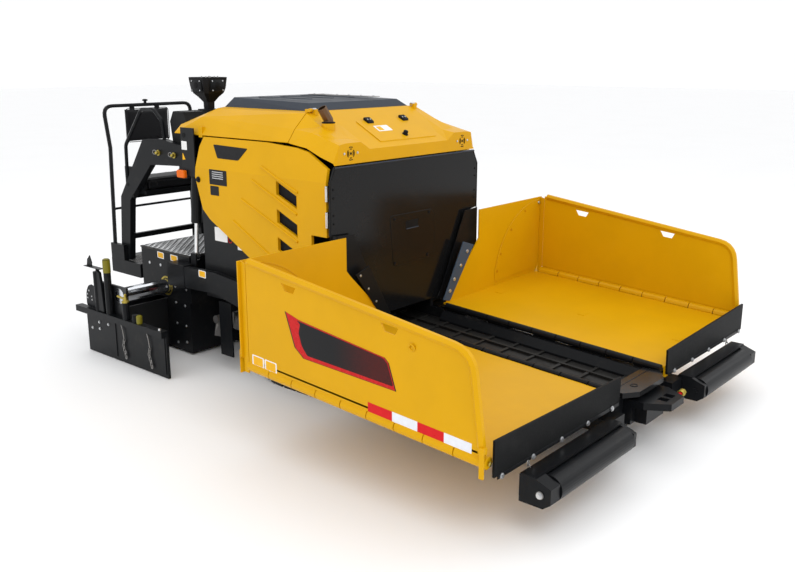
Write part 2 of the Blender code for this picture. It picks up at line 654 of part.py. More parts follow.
# ------------------------------------------------------------------ body
def make_engine_bay():
    engine = block((-0.300, 0.300), (1.760, 2.480), (ENGINE_DECK_Z + GAP, 1.300))
    node("engine_block", engine, STEEL)
    panel_back = BODY_BACK + 0.012
    pieces = [block((-0.678, 0.678), (panel_back + GAP, 1.740), (1.465, 1.495)),
              block((-0.520, 0.520), (2.110, 2.130), (1.765, 1.795)),
              block((-0.625, 0.625), (2.985, 3.000), (ENGINE_DECK_Z + GAP, 1.618)),
              block((-0.624, 0.624), (3.130, 3.160), (1.380, 1.560))]
    for side, _ in SIDES:
        pieces += [block((side * 0.640, side * 0.679), (panel_back + GAP, 1.750), (0.561, 1.500)),
                   block((side * 0.641, side * 0.6785), (1.7125 + GAP, 2.997), (0.560, 0.600)),
                   block((side * 0.6415, side * 0.678), (1.7135, 2.996), (1.440, 1.480)),
                   block((side * 0.600, side * 0.680), (2.950, 2.999), (0.5605, 1.619)),
                   block((side * (FRAME_OUT + GAP), side * 0.660), (1.730, 1.770), (0.565, 0.600)),
                   block((side * 0.500, side * 0.530), (2.111, 2.129), (1.450, 1.790)),
                   block((side * 0.510, side * 0.660), (2.112, 2.128), (1.445, 1.475)),
                   block((side * 0.580, side * 0.620), (2.990, 3.150), (1.400, 1.600)),
                   block((side * 0.590, side * 0.7265), (3.131, 3.159), (1.350, 1.625)),
                   block((side * (LIFT_X + LIFT_BOSS + GAP), side * 0.727), (3.020, 3.165), (1.349, 1.680))]
        pieces += door_hinges(side)
    node("body_frame", join(*pieces), BLACK)
    outline = [(0.700, 1.515), (0.742, 1.420), (0.748, 1.105), (0.640, 1.090), (0.585, 0.900),
               (0.300, 0.520)]
    panel = plate(outline + [(-x, z) for x, z in reversed(outline)], "Y", BODY_BACK, panel_back)
    node("front_panel", panel, DARK)
    for side, tag in SIDES:
        lower = plate([(1.752, 0.505), (1.752, 0.760), (1.950, 0.760), (2.850, 1.160), (2.960, 1.260),
                       (2.960, 1.400),
                       (2.998, 1.400), (2.998, 0.505)], "X", side * (0.680 + GAP), side * 0.700)
        node(f"body_side_{tag}", lower, DARK)


def door_hinges(side):
    """Pins of one side door, each on two brackets from the front pillar."""
    pieces = []
    for low, high in DOOR_KNUCKLES:
        pieces.append(rod((side * DOOR_HINGE_X, DOOR_HINGE_BACK, low + 0.001),
                          (side * DOOR_HINGE_X, DOOR_HINGE_BACK, high - 0.001),
                          DOOR_PIN, 12))
        for z in (low, high - 0.009):
            pieces.append(rod((side * DOOR_HINGE_X, DOOR_HINGE_BACK, z),
                              (side * DOOR_HINGE_X, DOOR_HINGE_BACK, z + 0.009), 0.0075, 12))
            pieces.append(block((side * 0.670, side * (DOOR_HINGE_X - 0.001)),
                                (DOOR_HINGE_BACK - 0.0055, DOOR_HINGE_BACK + 0.0035),
                                (z + 0.001, z + 0.008)))
    return pieces


def make_doors():
    for side, tag in SIDES:
        carrier = pivot(f"side_door_{tag}_axis", (side * DOOR_HINGE_X, DOOR_HINGE_BACK, 1.260))
        outline = [(1.736, 1.090), (1.736, 1.425), (1.736, 1.500), (1.920, 1.590), (2.020, 1.608),
                   (2.300, 1.626),
                   (2.940, 1.626), (2.975, 1.560), (3.005, 1.356), (2.937, 1.137), (2.863, 1.074),
                   (2.050, 0.642),
                   (1.870, 0.642), (1.870, 1.090)]
        door = plate(outline, "X", side * (BODY_HALF - DOOR_THICK), side * BODY_HALF)
        vents = []
        for top in (1.400, 1.221, 1.042):
            vents.append(plate([(2.177, top), (1.992, top - 0.080), (1.992, top - 0.165),
                                (2.177, top - 0.090)],
                               "X", side * 0.700, side * 0.760))
        door = cut(door, *vents)
        bm = bmesh.new()
        bm.from_mesh(door.data)
        bend_z = 1.420
        bmesh.ops.bisect_plane(bm, geom=bm.verts[:] + bm.edges[:] + bm.faces[:], plane_co=(0, 0, bend_z),
                               plane_no=(0, 0, 1), dist=0.00001)
        for vert in bm.verts:
            vert.co.x -= side * max(0.0, vert.co.z - bend_z) * 0.200
        bm.to_mesh(door.data)
        bm.free()
        pieces = [door]
        for low, high in DOOR_KNUCKLES:
            strap = block((side * (BODY_HALF - 0.010), side * (DOOR_HINGE_X + 0.004)),
                          (DOOR_HINGE_BACK + 0.004, 1.750),
                          (low + 0.011, high - 0.011))
            tube = rod((side * DOOR_HINGE_X, DOOR_HINGE_BACK, low + 0.012),
                       (side * DOOR_HINGE_X, DOOR_HINGE_BACK, high - 0.012),
                       0.0075, 12)
            bore = rod((side * DOOR_HINGE_X, DOOR_HINGE_BACK, low),
                       (side * DOOR_HINGE_X, DOOR_HINGE_BACK, high),
                       DOOR_PIN + 2 * GAP, 12)
            pieces.append(cut(join(tube, strap), bore))
        node(f"side_door_{tag}", join(*pieces), YELLOW, carrier)


def on_hood(back):
    """Height of the front hood's sloping top."""
    return 1.600 + (HOOD_TOP - 1.600) / (HOOD_SPLIT - BODY_BACK) * (back - BODY_BACK)


def make_hood():
    front = BODY_BACK
    rows = [
        [(0, front, 1.522), (0.390, front, 1.522), (0.470, front, 1.522), (0.600, front, 1.522),
         (0.680, front, 1.522),
         (0.700, front, 1.522)],
        [(0, front, 1.600), (0.390, front, 1.600), (0.470, front, 1.648), (0.600, front, 1.648),
         (0.660, front, 1.640),
         (0.702, front + 0.010, 1.535)],
        [(0, 1.800, on_hood(1.800)), (0.390, 1.800, on_hood(1.800)), (0.470, 1.800, 1.662),
         (0.580, 1.800, 1.668),
         (0.650, 1.800, 1.664), (0.701, 1.820, 1.566)],
        [(0, 1.950, on_hood(1.950)), (0.390, 1.950, on_hood(1.950)), (0.470, 1.950, on_hood(1.950)),
         (0.560, 1.950, 1.732),
         (0.642, 1.950, 1.700), (0.700, 1.940, 1.612)],
        [(0, 2.099, HOOD_TOP), (0.390, 2.099, HOOD_TOP), (0.480, 2.099, HOOD_TOP), (0.540, 2.099, 1.805),
         (0.640, 2.099, 1.714), (0.700, 2.099, 1.634)],
    ]
    carrier = pivot("front_hood_axis", HOOD_PIVOT)
    pieces = [skin(rows, PANEL_THICK)]
    _, hinge_back, hinge_z = HOOD_PIVOT
    bores = []
    for side, _ in SIDES:
        pieces.append(rod((side * 0.470, hinge_back, hinge_z), (side * 0.500, hinge_back, hinge_z),
                          0.012, 12))
        pieces.append(block((side * 0.471, side * 0.499), (2.060, hinge_back - 0.001),
                            (1.7925, hinge_z + 0.007)))
        bores.append(rod((side * 0.460, hinge_back, hinge_z), (side * 0.510, hinge_back, hinge_z),
                         0.006 + 2 * GAP, 12))
    pieces.append(rod((EXHAUST_X, EXHAUST_BACK, 1.690), (EXHAUST_X, EXHAUST_BACK, 1.754), 0.041))
    exhaust_hole = rod((EXHAUST_X, EXHAUST_BACK, 1.640), (EXHAUST_X, EXHAUST_BACK, 1.800),
                       EXHAUST_RADIUS + 2 * GAP)
    hatch_hole = block((HATCH_LOW + 0.012, HATCH_HIGH - 0.012), (1.765, 1.955), (1.600, 1.780))
    node("front_hood", cut(join(*pieces), exhaust_hole, hatch_hole, *bores), YELLOW, carrier)
    make_hatch()
    tail = pipe([(EXHAUST_X, EXHAUST_BACK, 1.660), (EXHAUST_X, EXHAUST_BACK, 1.772),
                 (EXHAUST_X - 0.046, EXHAUST_BACK + 0.010, 1.846)], EXHAUST_RADIUS, 2, 0.020)
    mouth = rod((EXHAUST_X - 0.0310, EXHAUST_BACK + 0.0065, 1.822),
                (EXHAUST_X - 0.0550, EXHAUST_BACK + 0.011, 1.860), 0.026)
    node("exhaust_tail", cut(tail, mouth), BRONZE, carrier)
    make_rear_hood()


def make_hatch():
    """Filler lid on the front hood, hinged at its upper edge."""
    low, high = 1.752, 1.966
    lid_axis = pivot("hatch_lid_axis", ((HATCH_LOW + HATCH_HIGH) / 2, HATCH_PIVOT[0], HATCH_PIVOT[1]))
    lid = plate([(low, on_hood(low) + GAP * 2), (low, on_hood(low) + 0.006), (high, on_hood(high) + 0.006),
                 (high, on_hood(high) + GAP * 2)], "X", HATCH_LOW, HATCH_HIGH)
    pieces = [lid, rod((0.058, 1.795, on_hood(1.795) + 0.003), (0.058, 1.787, on_hood(1.795) + 0.024),
                       0.014)]
    for x in (-0.150, 0.200):
        pieces.append(plate([(1.930, on_hood(1.930) + 0.004), (1.930, on_hood(1.930) + 0.020),
                             (1.974, on_hood(1.974) + 0.020), (1.974, on_hood(1.974) + 3 * GAP)], "X", x,
                            x + 0.050))
    node("hatch_lid", join(*pieces), YELLOW, lid_axis)


def make_rear_hood():
    rear = [
        [(0, 2.105, HOOD_TOP), (0.480, 2.105, HOOD_TOP), (0.540, 2.105, 1.808), (0.640, 2.105, 1.714),
         (0.700, 2.105, 1.636)],
        [(0, 2.980, HOOD_TOP), (0.480, 2.980, HOOD_TOP), (0.540, 2.980, 1.808), (0.640, 3.020, 1.754),
         (0.700, 3.000, 1.636)],
        [(0, HOOD_END, 1.700), (0.480, HOOD_END, 1.700), (0.540, HOOD_END, 1.695), (0.640, HOOD_END, 1.690),
         (0.700, HOOD_END, 1.636)],
    ]
    pieces = [skin(rear, PANEL_THICK), block((-0.530, 0.530), (3.252, 3.266), (1.640, 1.6960))]
    _, hinge_back, hinge_z = HOOD_PIVOT
    for side, _ in SIDES:
        pieces.append(block((side * 0.620, side * 0.698), (2.960, 2.998), (1.619 + GAP, 1.690)))
        strap = [(hinge_back + 0.001, hinge_z - 0.0095), (hinge_back + 0.001, hinge_z + 0.007),
                 (2.125, hinge_z + 0.007),
                 (2.125, 1.805), (2.1065, 1.805), (2.103, hinge_z - 0.0095)]
        pieces.append(plate(strap, "X", side * 0.5035, side * 0.5265))
        pieces.append(rod((side * 0.504, hinge_back, hinge_z), (side * 0.526, hinge_back, hinge_z),
                          0.012, 12))
        pieces.append(rod((side * 0.466, hinge_back, hinge_z), (side * 0.515, hinge_back, hinge_z),
                          0.006, 12))
    node("hood_rear", join(*pieces), YELLOW)
    bm = bmesh.new()
    base_z = HOOD_TOP + GAP
    for x, back, z in ((0.478, 2.132, base_z), (0.430, 2.190, 1.862), (0.430, 2.930, 1.880),
                       (0.478, 2.976, base_z)):
        bm.verts.new((x, back, z))
        bm.verts.new((-x, back, z))
    bmesh.ops.convex_hull(bm, input=bm.verts)
    bmesh.ops.recalc_face_normals(bm, faces=bm.faces)
    node("roof_cover", shape_from(bm), GREY)


# ------------------------------------------------------------------ screed
def make_screed():
    carrier = pivot("screed_lift_axis", (0, TOW_BACK, TOW_Z))
    side_face = SCREED_HALF - 0.001
    for side, tag in SIDES:
        outline = [(TOW_BACK - 0.050, 0.350), (TOW_BACK - 0.050, 0.450), (2.200, 0.560), (2.550, 0.690),
                   (2.790, 0.715),
                   (3.180, 0.704), (3.180, 0.553), (2.800, 0.565), (2.560, 0.516), (2.250, 0.400),
                   (TOW_BACK + 0.050, 0.350)]
        arm = plate(outline, "X", side * ARM_IN, side * ARM_OUT)
        foot = block((side * (side_face + GAP), side * (ARM_OUT + 0.002)), (3.140, 3.340), (0.545, 0.710))
        lug = block((side * (LIFT_X + 0.0160 + GAP), side * 0.704), (LIFT_EYE[0] - 0.030, 3.160),
                    (0.560, LIFT_EYE[1] + 0.030))
        eye = rod((side * 0.700, TOW_BACK, TOW_Z), (side * 0.830, TOW_BACK, TOW_Z), TOW_PIN + 2 * GAP)
        node(f"tow_arm_{tag}", cut(join(arm, foot, lug), eye), BLACK, carrier)
    end = SCREED_FRONT + SCREED_DEPTH
    tray = cut(block((-SCREED_HALF, SCREED_HALF), (SCREED_FRONT, end), (SCREED_BOTTOM, SCREED_TOP)),
               block((-0.668, 0.668), (SCREED_FRONT + 0.020, end - 0.020), (0.050, 0.450)))
    pieces = [tray]
    sleeves = []
    for side, _ in SIDES:
        pieces.append(block((side * 0.671, side * side_face), (3.200, 3.800),
                            (SCREED_TOP - 0.010, 0.745 - GAP)))
        pieces.append(rod((side * 0.685, GUIDE_BACK, GUIDE_Z), (side * 0.010, GUIDE_BACK, GUIDE_Z),
                          GUIDE_RADIUS + 0.015))
        sleeves.append(rod((side * 0.030, GUIDE_BACK, GUIDE_Z), (side * 0.720, GUIDE_BACK, GUIDE_Z),
                           GUIDE_RADIUS + 2 * GAP))
    pieces.append(block((-0.012, 0.012), (3.205, 3.600), (SCREED_TOP - 0.020, 0.744 - GAP)))
    pieces.append(block((-0.680, 0.680), (3.201, 3.212), (SCREED_TOP - 0.015, 0.743 - GAP)))
    pieces.append(block((-0.679, 0.679), (3.206, 3.235), (SCREED_TOP - 0.030, SCREED_TOP - 0.002)))
    node("screed_main", cut(join(*pieces), *sleeves), BLACK, carrier)
    node("screed_deck", block((-SCREED_HALF, SCREED_HALF), (3.200, DECK_END), (0.745, DECK_Z)), STEEL,
         carrier)
    for side, tag in SIDES:
        make_extension(side, tag, end)


def make_extension(side, tag, end):
    slide = pivot(f"extension_{tag}_axis", (side * EXTENSION_OUT, GUIDE_BACK, GUIDE_Z))
    inner = EXTENSION_OUT - EXTENSION_LENGTH
    front, back = end + 0.010, 3.790
    body = cut(block((side * inner, side * EXTENSION_OUT), (front, back), (SCREED_BOTTOM, 0.392)),
               block((side * (inner + 0.015), side * (EXTENSION_OUT - 0.015)),
                     (front + 0.015, back - 0.015), (0.050, 0.430)))
    face = EXTENSION_OUT + 0.012
    end_plate = block((side * (EXTENSION_OUT - 0.005), side * face), (3.410, back - 0.001),
                      (SCREED_BOTTOM + 0.001, 0.560))
    tube = rod((side * 0.420, GUIDE_BACK, GUIDE_Z), (side * (EXTENSION_OUT + 0.005), GUIDE_BACK,
                                                     GUIDE_Z), GUIDE_RADIUS)
    node(f"screed_extension_{tag}", join(body, end_plate, tube), BLACK, slide)
    x0 = face + GAP
    gate = block((side * x0, side * (x0 + 0.020)), (2.930, 3.930), (0.004, 0.330))
    beam = block((side * (x0 + 0.0005), side * (x0 + 0.055)), (2.931, 4.020), (0.300, 0.345))
    pieces = [gate, beam]
    for back, top, radius in ((3.590, 0.750, 0.026), (3.380, 0.470, 0.026), (3.270, 0.400, 0.022),
                              (3.740, 0.640, 0.022)):
        pieces.append(rod((side * (x0 + 0.029), back, 0.330), (side * (x0 + 0.029), back, top), radius, 12))
    node(f"end_gate_{tag}", join(*pieces), BLACK, slide)


def make_lift_cylinders():
    for side, tag in SIDES:
        top = Vector((side * LIFT_X, *LIFT_TOP))
        eye = Vector((side * LIFT_X, *LIFT_EYE))
        way = (eye - top).normalized()
        across = Vector((side, 0, 0))
        barrel_axis = pivot(f"lift_cylinder_{tag}_axis", top)
        tube = rod(top, top + way * 0.425, 0.040)
        boss = rod(top - across * 0.030, top + across * LIFT_BOSS, 0.034)
        bore = rod(top + way * 0.100, top + way * 0.470, 0.015 + 2 * GAP)
        node(f"lift_cylinder_{tag}", cut(join(tube, boss), bore), BLACK, barrel_axis)
        rod_axis = pivot(f"lift_cylinder_rod_{tag}_axis", eye)
        shaft = rod(top + way * 0.330, eye, 0.015)
        ring = rod(eye - across * 0.0160, eye + across * 0.0160, 0.026)
        node(f"lift_cylinder_rod_{tag}", join(shaft, ring), CHROME, rod_axis)


def make_auger():
    carrier = pivot("auger_axis", (0, AUGER_BACK, AUGER_Z))
    shaft = rod((-0.620, AUGER_BACK, AUGER_Z), (0.620, AUGER_BACK, AUGER_Z), AUGER_SHAFT)
    flights = [flight(side, 0.060, 0.615, 0.200) for side, _ in SIDES]
    node("auger", join(shaft, *flights), STEEL, carrier)


def flight(side, start, end, pitch, steps_per_turn=14):
    """A helical auger blade, wound the other way on the other side."""
    steps = round((end - start) / pitch * steps_per_turn)
    thick = 0.008
    bm = bmesh.new()
    rings = []
    for step in range(steps + 1):
        along = start + (end - start - thick) * step / steps
        angle = 2 * math.pi * step / steps_per_turn
        ring = []
        for radius, offset in ((0.020, 0.0), (AUGER_RADIUS, 0.0), (AUGER_RADIUS, thick), (0.020, thick)):
            ring.append(bm.verts.new((side * (along + offset), AUGER_BACK + radius * math.cos(angle),
                                      AUGER_Z + radius * math.sin(angle))))
        rings.append(ring)
    for first, second in zip(rings, rings[1:]):
        for i in range(4):
            bm.faces.new((first[i], first[(i + 1) % 4], second[(i + 1) % 4], second[i]))
    bm.faces.new(rings[0])
    bm.faces.new(rings[-1])
    bmesh.ops.recalc_face_normals(bm, faces=bm.faces)
    return shape_from(bm)


# ------------------------------------------------------------------ operator's station
def make_station():
    x0, x1 = STATION_X - 0.025, STATION_X + 0.025
    floor_z = 0.600
    arm = plate([(3.164, 1.400), (3.164, 1.545), (3.330, 1.545), (3.500, 1.572), (3.750, 1.560),
                 (4.095, 1.100),
                 (4.150, floor_z + GAP), (4.035, floor_z + GAP), (3.970, 1.085), (3.668, 1.377)], "X",
                x0, x1)
    base = block((x0 + 0.001, -0.300), (3.160 + GAP, 3.200), (1.385, 1.555))
    arch = pipe([(STATION_X, 3.505, 1.540), (STATION_X, 3.525, 1.700), (STATION_X, 3.620, 1.780),
                 (STATION_X, 3.777, 1.775),
                 (STATION_X, 4.015, 1.500), (STATION_X, 4.030, 1.120)], 0.015, 1, 0.060)
    node("station_arm", join(arm, base, arch), BLACK)
    platform = join(block((-0.680, 0.130), (3.845, 4.240), (0.490, floor_z)),
                    block((-0.679, -0.646), (4.060, 4.239), (0.590, 0.720)))
    node("foot_platform", platform, BLACK)
    frame = [block((x1 + GAP, 0.060), (3.990, 4.030), (1.090, 1.130)),
             block((x1 + 0.001, 0.059), (4.050, 4.080), (0.760, 0.800)),
             block((0.020, 0.0605), (3.991, 4.0805), (floor_z + GAP, 1.129))]
    node("station_frame", join(*frame), BLACK)
    rail_z = floor_z + 0.120
    rail = pipe([(-0.6625, RAIL_BACK, rail_z + 3 * GAP), (-0.640, RAIL_BACK, 1.465),
                 (-0.675, RAIL_BACK, 1.785), (0.140, RAIL_BACK, 1.785),
                 (0.100, RAIL_BACK, 1.465), (0.100, RAIL_BACK, floor_z + GAP)], 0.015, 1, 0.070)
    brace = pipe([(-0.650, RAIL_BACK, 0.990), (0.100, RAIL_BACK, 0.990)], 0.010, 1)
    straps = [block((x, x + 0.040), (RAIL_BACK - 0.0150, RAIL_BACK - 0.0050),
                    (1.600, 1.786)) for x in (-0.450, -0.220)]
    node("guard_rail", join(rail, brace, *straps), BLACK)
    back = block((-0.518, -0.115), (RAIL_BACK - 0.055, RAIL_BACK - 0.0150 - GAP), (1.500, 1.764))
    node("seat_backrest", back, BLACK)
    pan = join(block((-0.590, -0.060), (3.830, 4.120), (1.130 + GAP, 1.160)),
               block((-0.590, -0.565), (3.850, 4.100), (1.150, 1.330)),
               block((-0.085, -0.060), (3.850, 4.100), (1.150, 1.330)))
    node("seat_pan", pan, BLACK)
    node("seat_cushion", block((-0.5645, -0.0855), (3.835, 4.110), (1.160 + GAP, 1.250)), BLACK)
    console = plate([(HOOD_END + GAP, 1.500), (HOOD_END + GAP, 1.695), (3.310, 1.770), (3.430, 1.770),
                     (3.470, 1.700),
                     (3.440, 1.500)], "X", -0.590, 0.420)
    console = join(console, block((-0.280, 0.400), (3.160 + GAP, 3.300), (1.510, 1.620)))
    node("dash_console", console, BLACK)
    base = block((-0.350, -0.270), (3.330, 3.410), (1.770 + GAP, 1.778))
    mount = rod((-0.310, 3.370, 1.772), (-0.310, 3.370, 1.850), 0.025, 16, 0.055)
    head = rod((-0.310, 3.370, 1.845), (-0.310, 3.370, 2.020), 0.085, 8, 0.112)
    node("control_unit", join(base, mount, head), BLACK)


make_chassis()
make_conveyor()
make_front()
make_tracks()
make_wings()
make_side_walls()
make_wing_cylinders()
make_engine_bay()
make_doors()
make_hood()
make_screed()
make_lift_cylinders()
make_auger()
make_station()
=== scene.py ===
"""The look of a compact tracked asphalt paver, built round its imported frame.

Metres, +Z up.  The hopper faces -Y and the operator's station is at +Y.  Places
are written as (x, back, z), where back is measured from the hopper's front edge.
"""
import math

import bmesh
import bpy
from mathutils import Matrix, Vector


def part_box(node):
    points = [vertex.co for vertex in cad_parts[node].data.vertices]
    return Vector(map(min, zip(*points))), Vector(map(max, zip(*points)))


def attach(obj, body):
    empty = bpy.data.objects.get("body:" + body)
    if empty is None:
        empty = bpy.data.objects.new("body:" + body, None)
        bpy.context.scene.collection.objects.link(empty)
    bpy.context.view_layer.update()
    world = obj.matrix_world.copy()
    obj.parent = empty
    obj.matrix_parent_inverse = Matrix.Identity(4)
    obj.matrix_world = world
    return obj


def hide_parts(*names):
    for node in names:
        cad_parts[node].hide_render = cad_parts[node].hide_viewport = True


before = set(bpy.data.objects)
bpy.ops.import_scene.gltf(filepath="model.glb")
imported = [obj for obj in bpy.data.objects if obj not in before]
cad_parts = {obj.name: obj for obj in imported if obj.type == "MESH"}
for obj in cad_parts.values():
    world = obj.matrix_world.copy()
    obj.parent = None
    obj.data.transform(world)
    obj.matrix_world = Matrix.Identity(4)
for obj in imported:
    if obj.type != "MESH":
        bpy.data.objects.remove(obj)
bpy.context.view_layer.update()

SIDES = ((1, "left"), (-1, "right"))
HOPPER_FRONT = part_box("tow_hook")[0][1] + 0.215     # hopper front edge, in the frame
HOPPER_SLOPE = math.radians(3.3)
FLOOR_HINGE_Z = 0.385        # inner floor hinges, at the hopper's front edge
FLOOR_HINGE_X = 0.270
WALL_HINGE_X = 1.485         # hinges of the hopper's side walls
PANEL_FACE = 1.700           # front of the engine panel and of the hood
HOOD_FOOT_Z = 1.600
HOOD_RISE = 0.5375           # the hood's top climbs this much per metre back
TUBE_BACK, TUBE_Z = 3.500, 0.490     # guide tube of a screed extension
QUARTER = math.pi / 2        # a quarter turn
SCREED_SIDE = 0.689          # outside of the screed's end plates


def at(x, back, z):
    """A place in the frame from its distance behind the hopper's front edge."""
    return Vector((x, back + HOPPER_FRONT, z))


def on_floor(x, along, rise=0.0):
    """A place in the hopper's sloping frame."""
    c, s = math.cos(HOPPER_SLOPE), math.sin(HOPPER_SLOPE)
    return at(x, along * c - rise * s, FLOOR_HINGE_Z + along * s + rise * c)


def on_hood(back):
    """Height of the front hood's sloping top."""
    return HOOD_FOOT_Z + HOOD_RISE * (back - PANEL_FACE)


# ------------------------------------------------------------------ finishes
class Value:
    """One output socket of a finish, with arithmetic."""

    def __init__(self, finish, socket):
        self.finish = finish
        self.socket = socket

    def maths(self, operation, *others):
        made = self.finish.add("ShaderNodeMath", {"operation": operation})
        for index, other in enumerate((self,) + others):
            self.finish.set(made.inputs[index], other)
        return Value(self.finish, made.outputs[0])

    def __add__(self, other):
        return self.maths("ADD", other)

    def __mul__(self, other):
        return self.maths("MULTIPLY", other)

    def __sub__(self, other):
        return self.maths("SUBTRACT", other)

    def __rsub__(self, other):
        made = self.finish.add("ShaderNodeMath", {"operation": "SUBTRACT"})
        self.finish.set(made.inputs[0], other)
        self.finish.set(made.inputs[1], self)
        return Value(self.finish, made.outputs[0])

    __radd__ = __add__
    __rmul__ = __mul__

    def above(self, edge, width):
        """0 below edge, 1 above edge + width."""
        made = self.finish.add("ShaderNodeMapRange", {"interpolation_type": "SMOOTHSTEP"},
                               {"Value": self, "From Min": edge, "From Max": edge + width})
        return Value(self.finish, made.outputs[0])


class Finish:
    """One material: a principled shader and the nodes that feed it."""

    def __init__(self, name, colour, roughness, metallic=0.0, **shader):
        self.material = bpy.data.materials.new(name)
        self.material.use_nodes = True
        self.tree = self.material.node_tree
        self.shader = self.tree.nodes["Principled BSDF"]
        self.colour = (*colour, 1.0)
        self.shader.inputs["Base Color"].default_value = self.colour
        self.shader.inputs["Roughness"].default_value = roughness
        self.shader.inputs["Metallic"].default_value = metallic
        for socket, value in shader.items():
            self.shader.inputs[socket.replace("_", " ")].default_value = value
        self.roughness = roughness
        self.place = Value(self, self.add("ShaderNodeTexCoord").outputs["Object"])

    def add(self, kind, settings=None, sockets=None):
        made = self.tree.nodes.new(kind)
        for name, value in (settings or {}).items():
            if name == "stops":
                ramp = made.color_ramp.elements
                while len(ramp) < len(value):
                    ramp.new(0.5)
                for element, (position, colour) in zip(ramp, value):
                    element.position = position
                    element.color = (*colour, 1.0)
            else:
                setattr(made, name, value)
        for name, value in (sockets or {}).items():
            self.set(made.inputs[name], value)
        return made

    def set(self, socket, value):
        if isinstance(value, Value):
            self.tree.links.new(value.socket, socket)
        else:
            socket.default_value = value

    def stretched(self, scale):
        made = self.add("ShaderNodeMapping", {}, {"Vector": self.place, "Scale": scale})
        return Value(self, made.outputs[0])

    def along(self, axis):
        made = self.add("ShaderNodeSeparateXYZ", {}, {"Vector": self.place})
        return Value(self, made.outputs[axis])

    def noise(self, scale, detail=3.0, rough=0.5, where=None):
        made = self.add("ShaderNodeTexNoise", {}, {"Vector": where or self.place, "Scale": scale,
                                                   "Detail": detail, "Roughness": rough})
        return Value(self, made.outputs[0])

    def cells(self, scale, feature="F1", where=None):
        made = self.add("ShaderNodeTexVoronoi", {"feature": feature},
                        {"Vector": where or self.place, "Scale": scale})
        return Value(self, made.outputs["Distance"])

    def blend(self, mask, first, second):
        made = self.add("ShaderNodeMix", {"data_type": "RGBA"})
        self.set(made.inputs[0], mask)
        self.set(made.inputs[6], first)
        self.set(made.inputs[7], second)
        return Value(self, made.outputs[2])

    def paint(self, colour=None, roughness=None, metallic=None):
        for socket, value in (("Base Color", colour), ("Roughness", roughness), ("Metallic", metallic)):
            if value is not None:
                self.set(self.shader.inputs[socket], value)
        return self

    def bump(self, height, distance, strength=1.0):
        made = self.add("ShaderNodeBump", {}, {"Height": height, "Distance": distance, "Strength": strength})
        self.tree.links.new(made.outputs[0], self.shader.inputs["Normal"])
        return self


def painted(name, colour, roughness, dust, coat=0.25, second=None, where=None):
    """Sprayed paint: slow colour drift, faint orange peel and a little dust; second is masked in."""
    finish = Finish(name, colour, roughness, Coat_Weight=coat, Coat_Roughness=0.12, Specular_IOR_Level=0.1)
    drift = finish.noise(2.3, 4.0, 0.6)
    darker = tuple(channel * 0.95 for channel in colour) + (1.0,)
    body = finish.blend(drift.above(0.35, 0.3), darker, finish.colour)
    if second:
        body = finish.blend(where(finish), body, (*second, 1.0))
    film = finish.noise(11.0, 6.0, 0.7).above(0.52, 0.25) * dust
    finish.paint(finish.blend(film, body, (0.42, 0.36, 0.26, 1.0)),
                 film * 0.5 + drift * 0.08 + (roughness - 0.04))
    return finish.bump(finish.noise(420.0, 1.0), 0.00006, 0.35)


def near_inner_hinge(finish):
    """1 on the knuckles of the hopper's inner hinges."""
    across = finish.along("X").maths("ABSOLUTE") - FLOOR_HINGE_X
    rise = finish.along("Z") - (finish.along("Y") - HOPPER_FRONT) * math.tan(HOPPER_SLOPE) - FLOOR_HINGE_Z
    return 1 - (across * across + rise * rise).above(0.0235 ** 2, 0.00002)


def on_guide_tube(finish):
    """1 on the round tube that carries a screed extension."""
    across, rise = finish.along("Y") - (HOPPER_FRONT + TUBE_BACK), finish.along("Z") - TUBE_Z
    return 1 - (across * across + rise * rise).above(0.0560 ** 2, 0.00002)


INK = (0.0065, 0.0072, 0.0084)
YELLOW = painted("yellow_paint", (0.685, 0.360, 0.002), 0.36, 0.012, 0.04)
WING_YELLOW = painted("wing_paint", (0.685, 0.360, 0.002), 0.36, 0.012, 0.04, INK, near_inner_hinge)
DEEP_YELLOW = painted("deep_yellow_paint", (0.600, 0.280, 0.003), 0.38, 0.03, 0.08)
OLIVE = painted("olive_zinc", (0.190, 0.165, 0.012), 0.38, 0.05)
BLACK = painted("satin_black_paint", INK, 0.36, 0.02, 0.08)
DARK = painted("dark_lower_paint", (0.0120, 0.0128, 0.0140), 0.40, 0.02, 0.08)
GLOSS = painted("gloss_black_panel", (0.0070, 0.0072, 0.0078), 0.20, 0.008, 0.16)
SLATE = painted("slate_roof_paint", (0.040, 0.048, 0.062), 0.50, 0.04, 0.05)
STRIP_SLATE = painted("slate_strip_paint", (0.058, 0.085, 0.125), 0.42, 0.05, 0.05)


def bare_metal(name, colour, roughness, scratch, grain=(1.0, 1.0, 1.0)):
    """Bare metal with fine drawn scratches and dull patches."""
    finish = Finish(name, colour, roughness, 1.0)
    lines = finish.noise(90.0, 2.0, 0.6, finish.stretched(grain))
    patch = finish.noise(7.0, 5.0, 0.65).above(0.45, 0.25)
    dull = tuple(channel * 0.6 for channel in colour) + (1.0,)
    finish.paint(finish.blend(patch * scratch, finish.colour, dull),
                 patch * 0.18 + lines * 0.12 + (roughness - 0.06))
    return finish.bump(lines, 0.0002, 0.2)


STEEL = bare_metal("worn_steel", (0.32, 0.31, 0.30), 0.42, 0.5, (6.0, 1.0, 6.0))
CHROME = bare_metal("chromed_rod", (0.78, 0.79, 0.80), 0.10, 0.08)
ZINC = bare_metal("zinc_bolt", (0.62, 0.63, 0.64), 0.30, 0.2)
BRASS = bare_metal("yellow_zinc", (0.46, 0.36, 0.075), 0.36, 0.35)
EXHAUST = bare_metal("heat_browned_pipe", (0.155, 0.090, 0.050), 0.40, 0.6)
TRACK_STEEL = bare_metal("track_steel", (0.055, 0.053, 0.050), 0.52, 0.6)


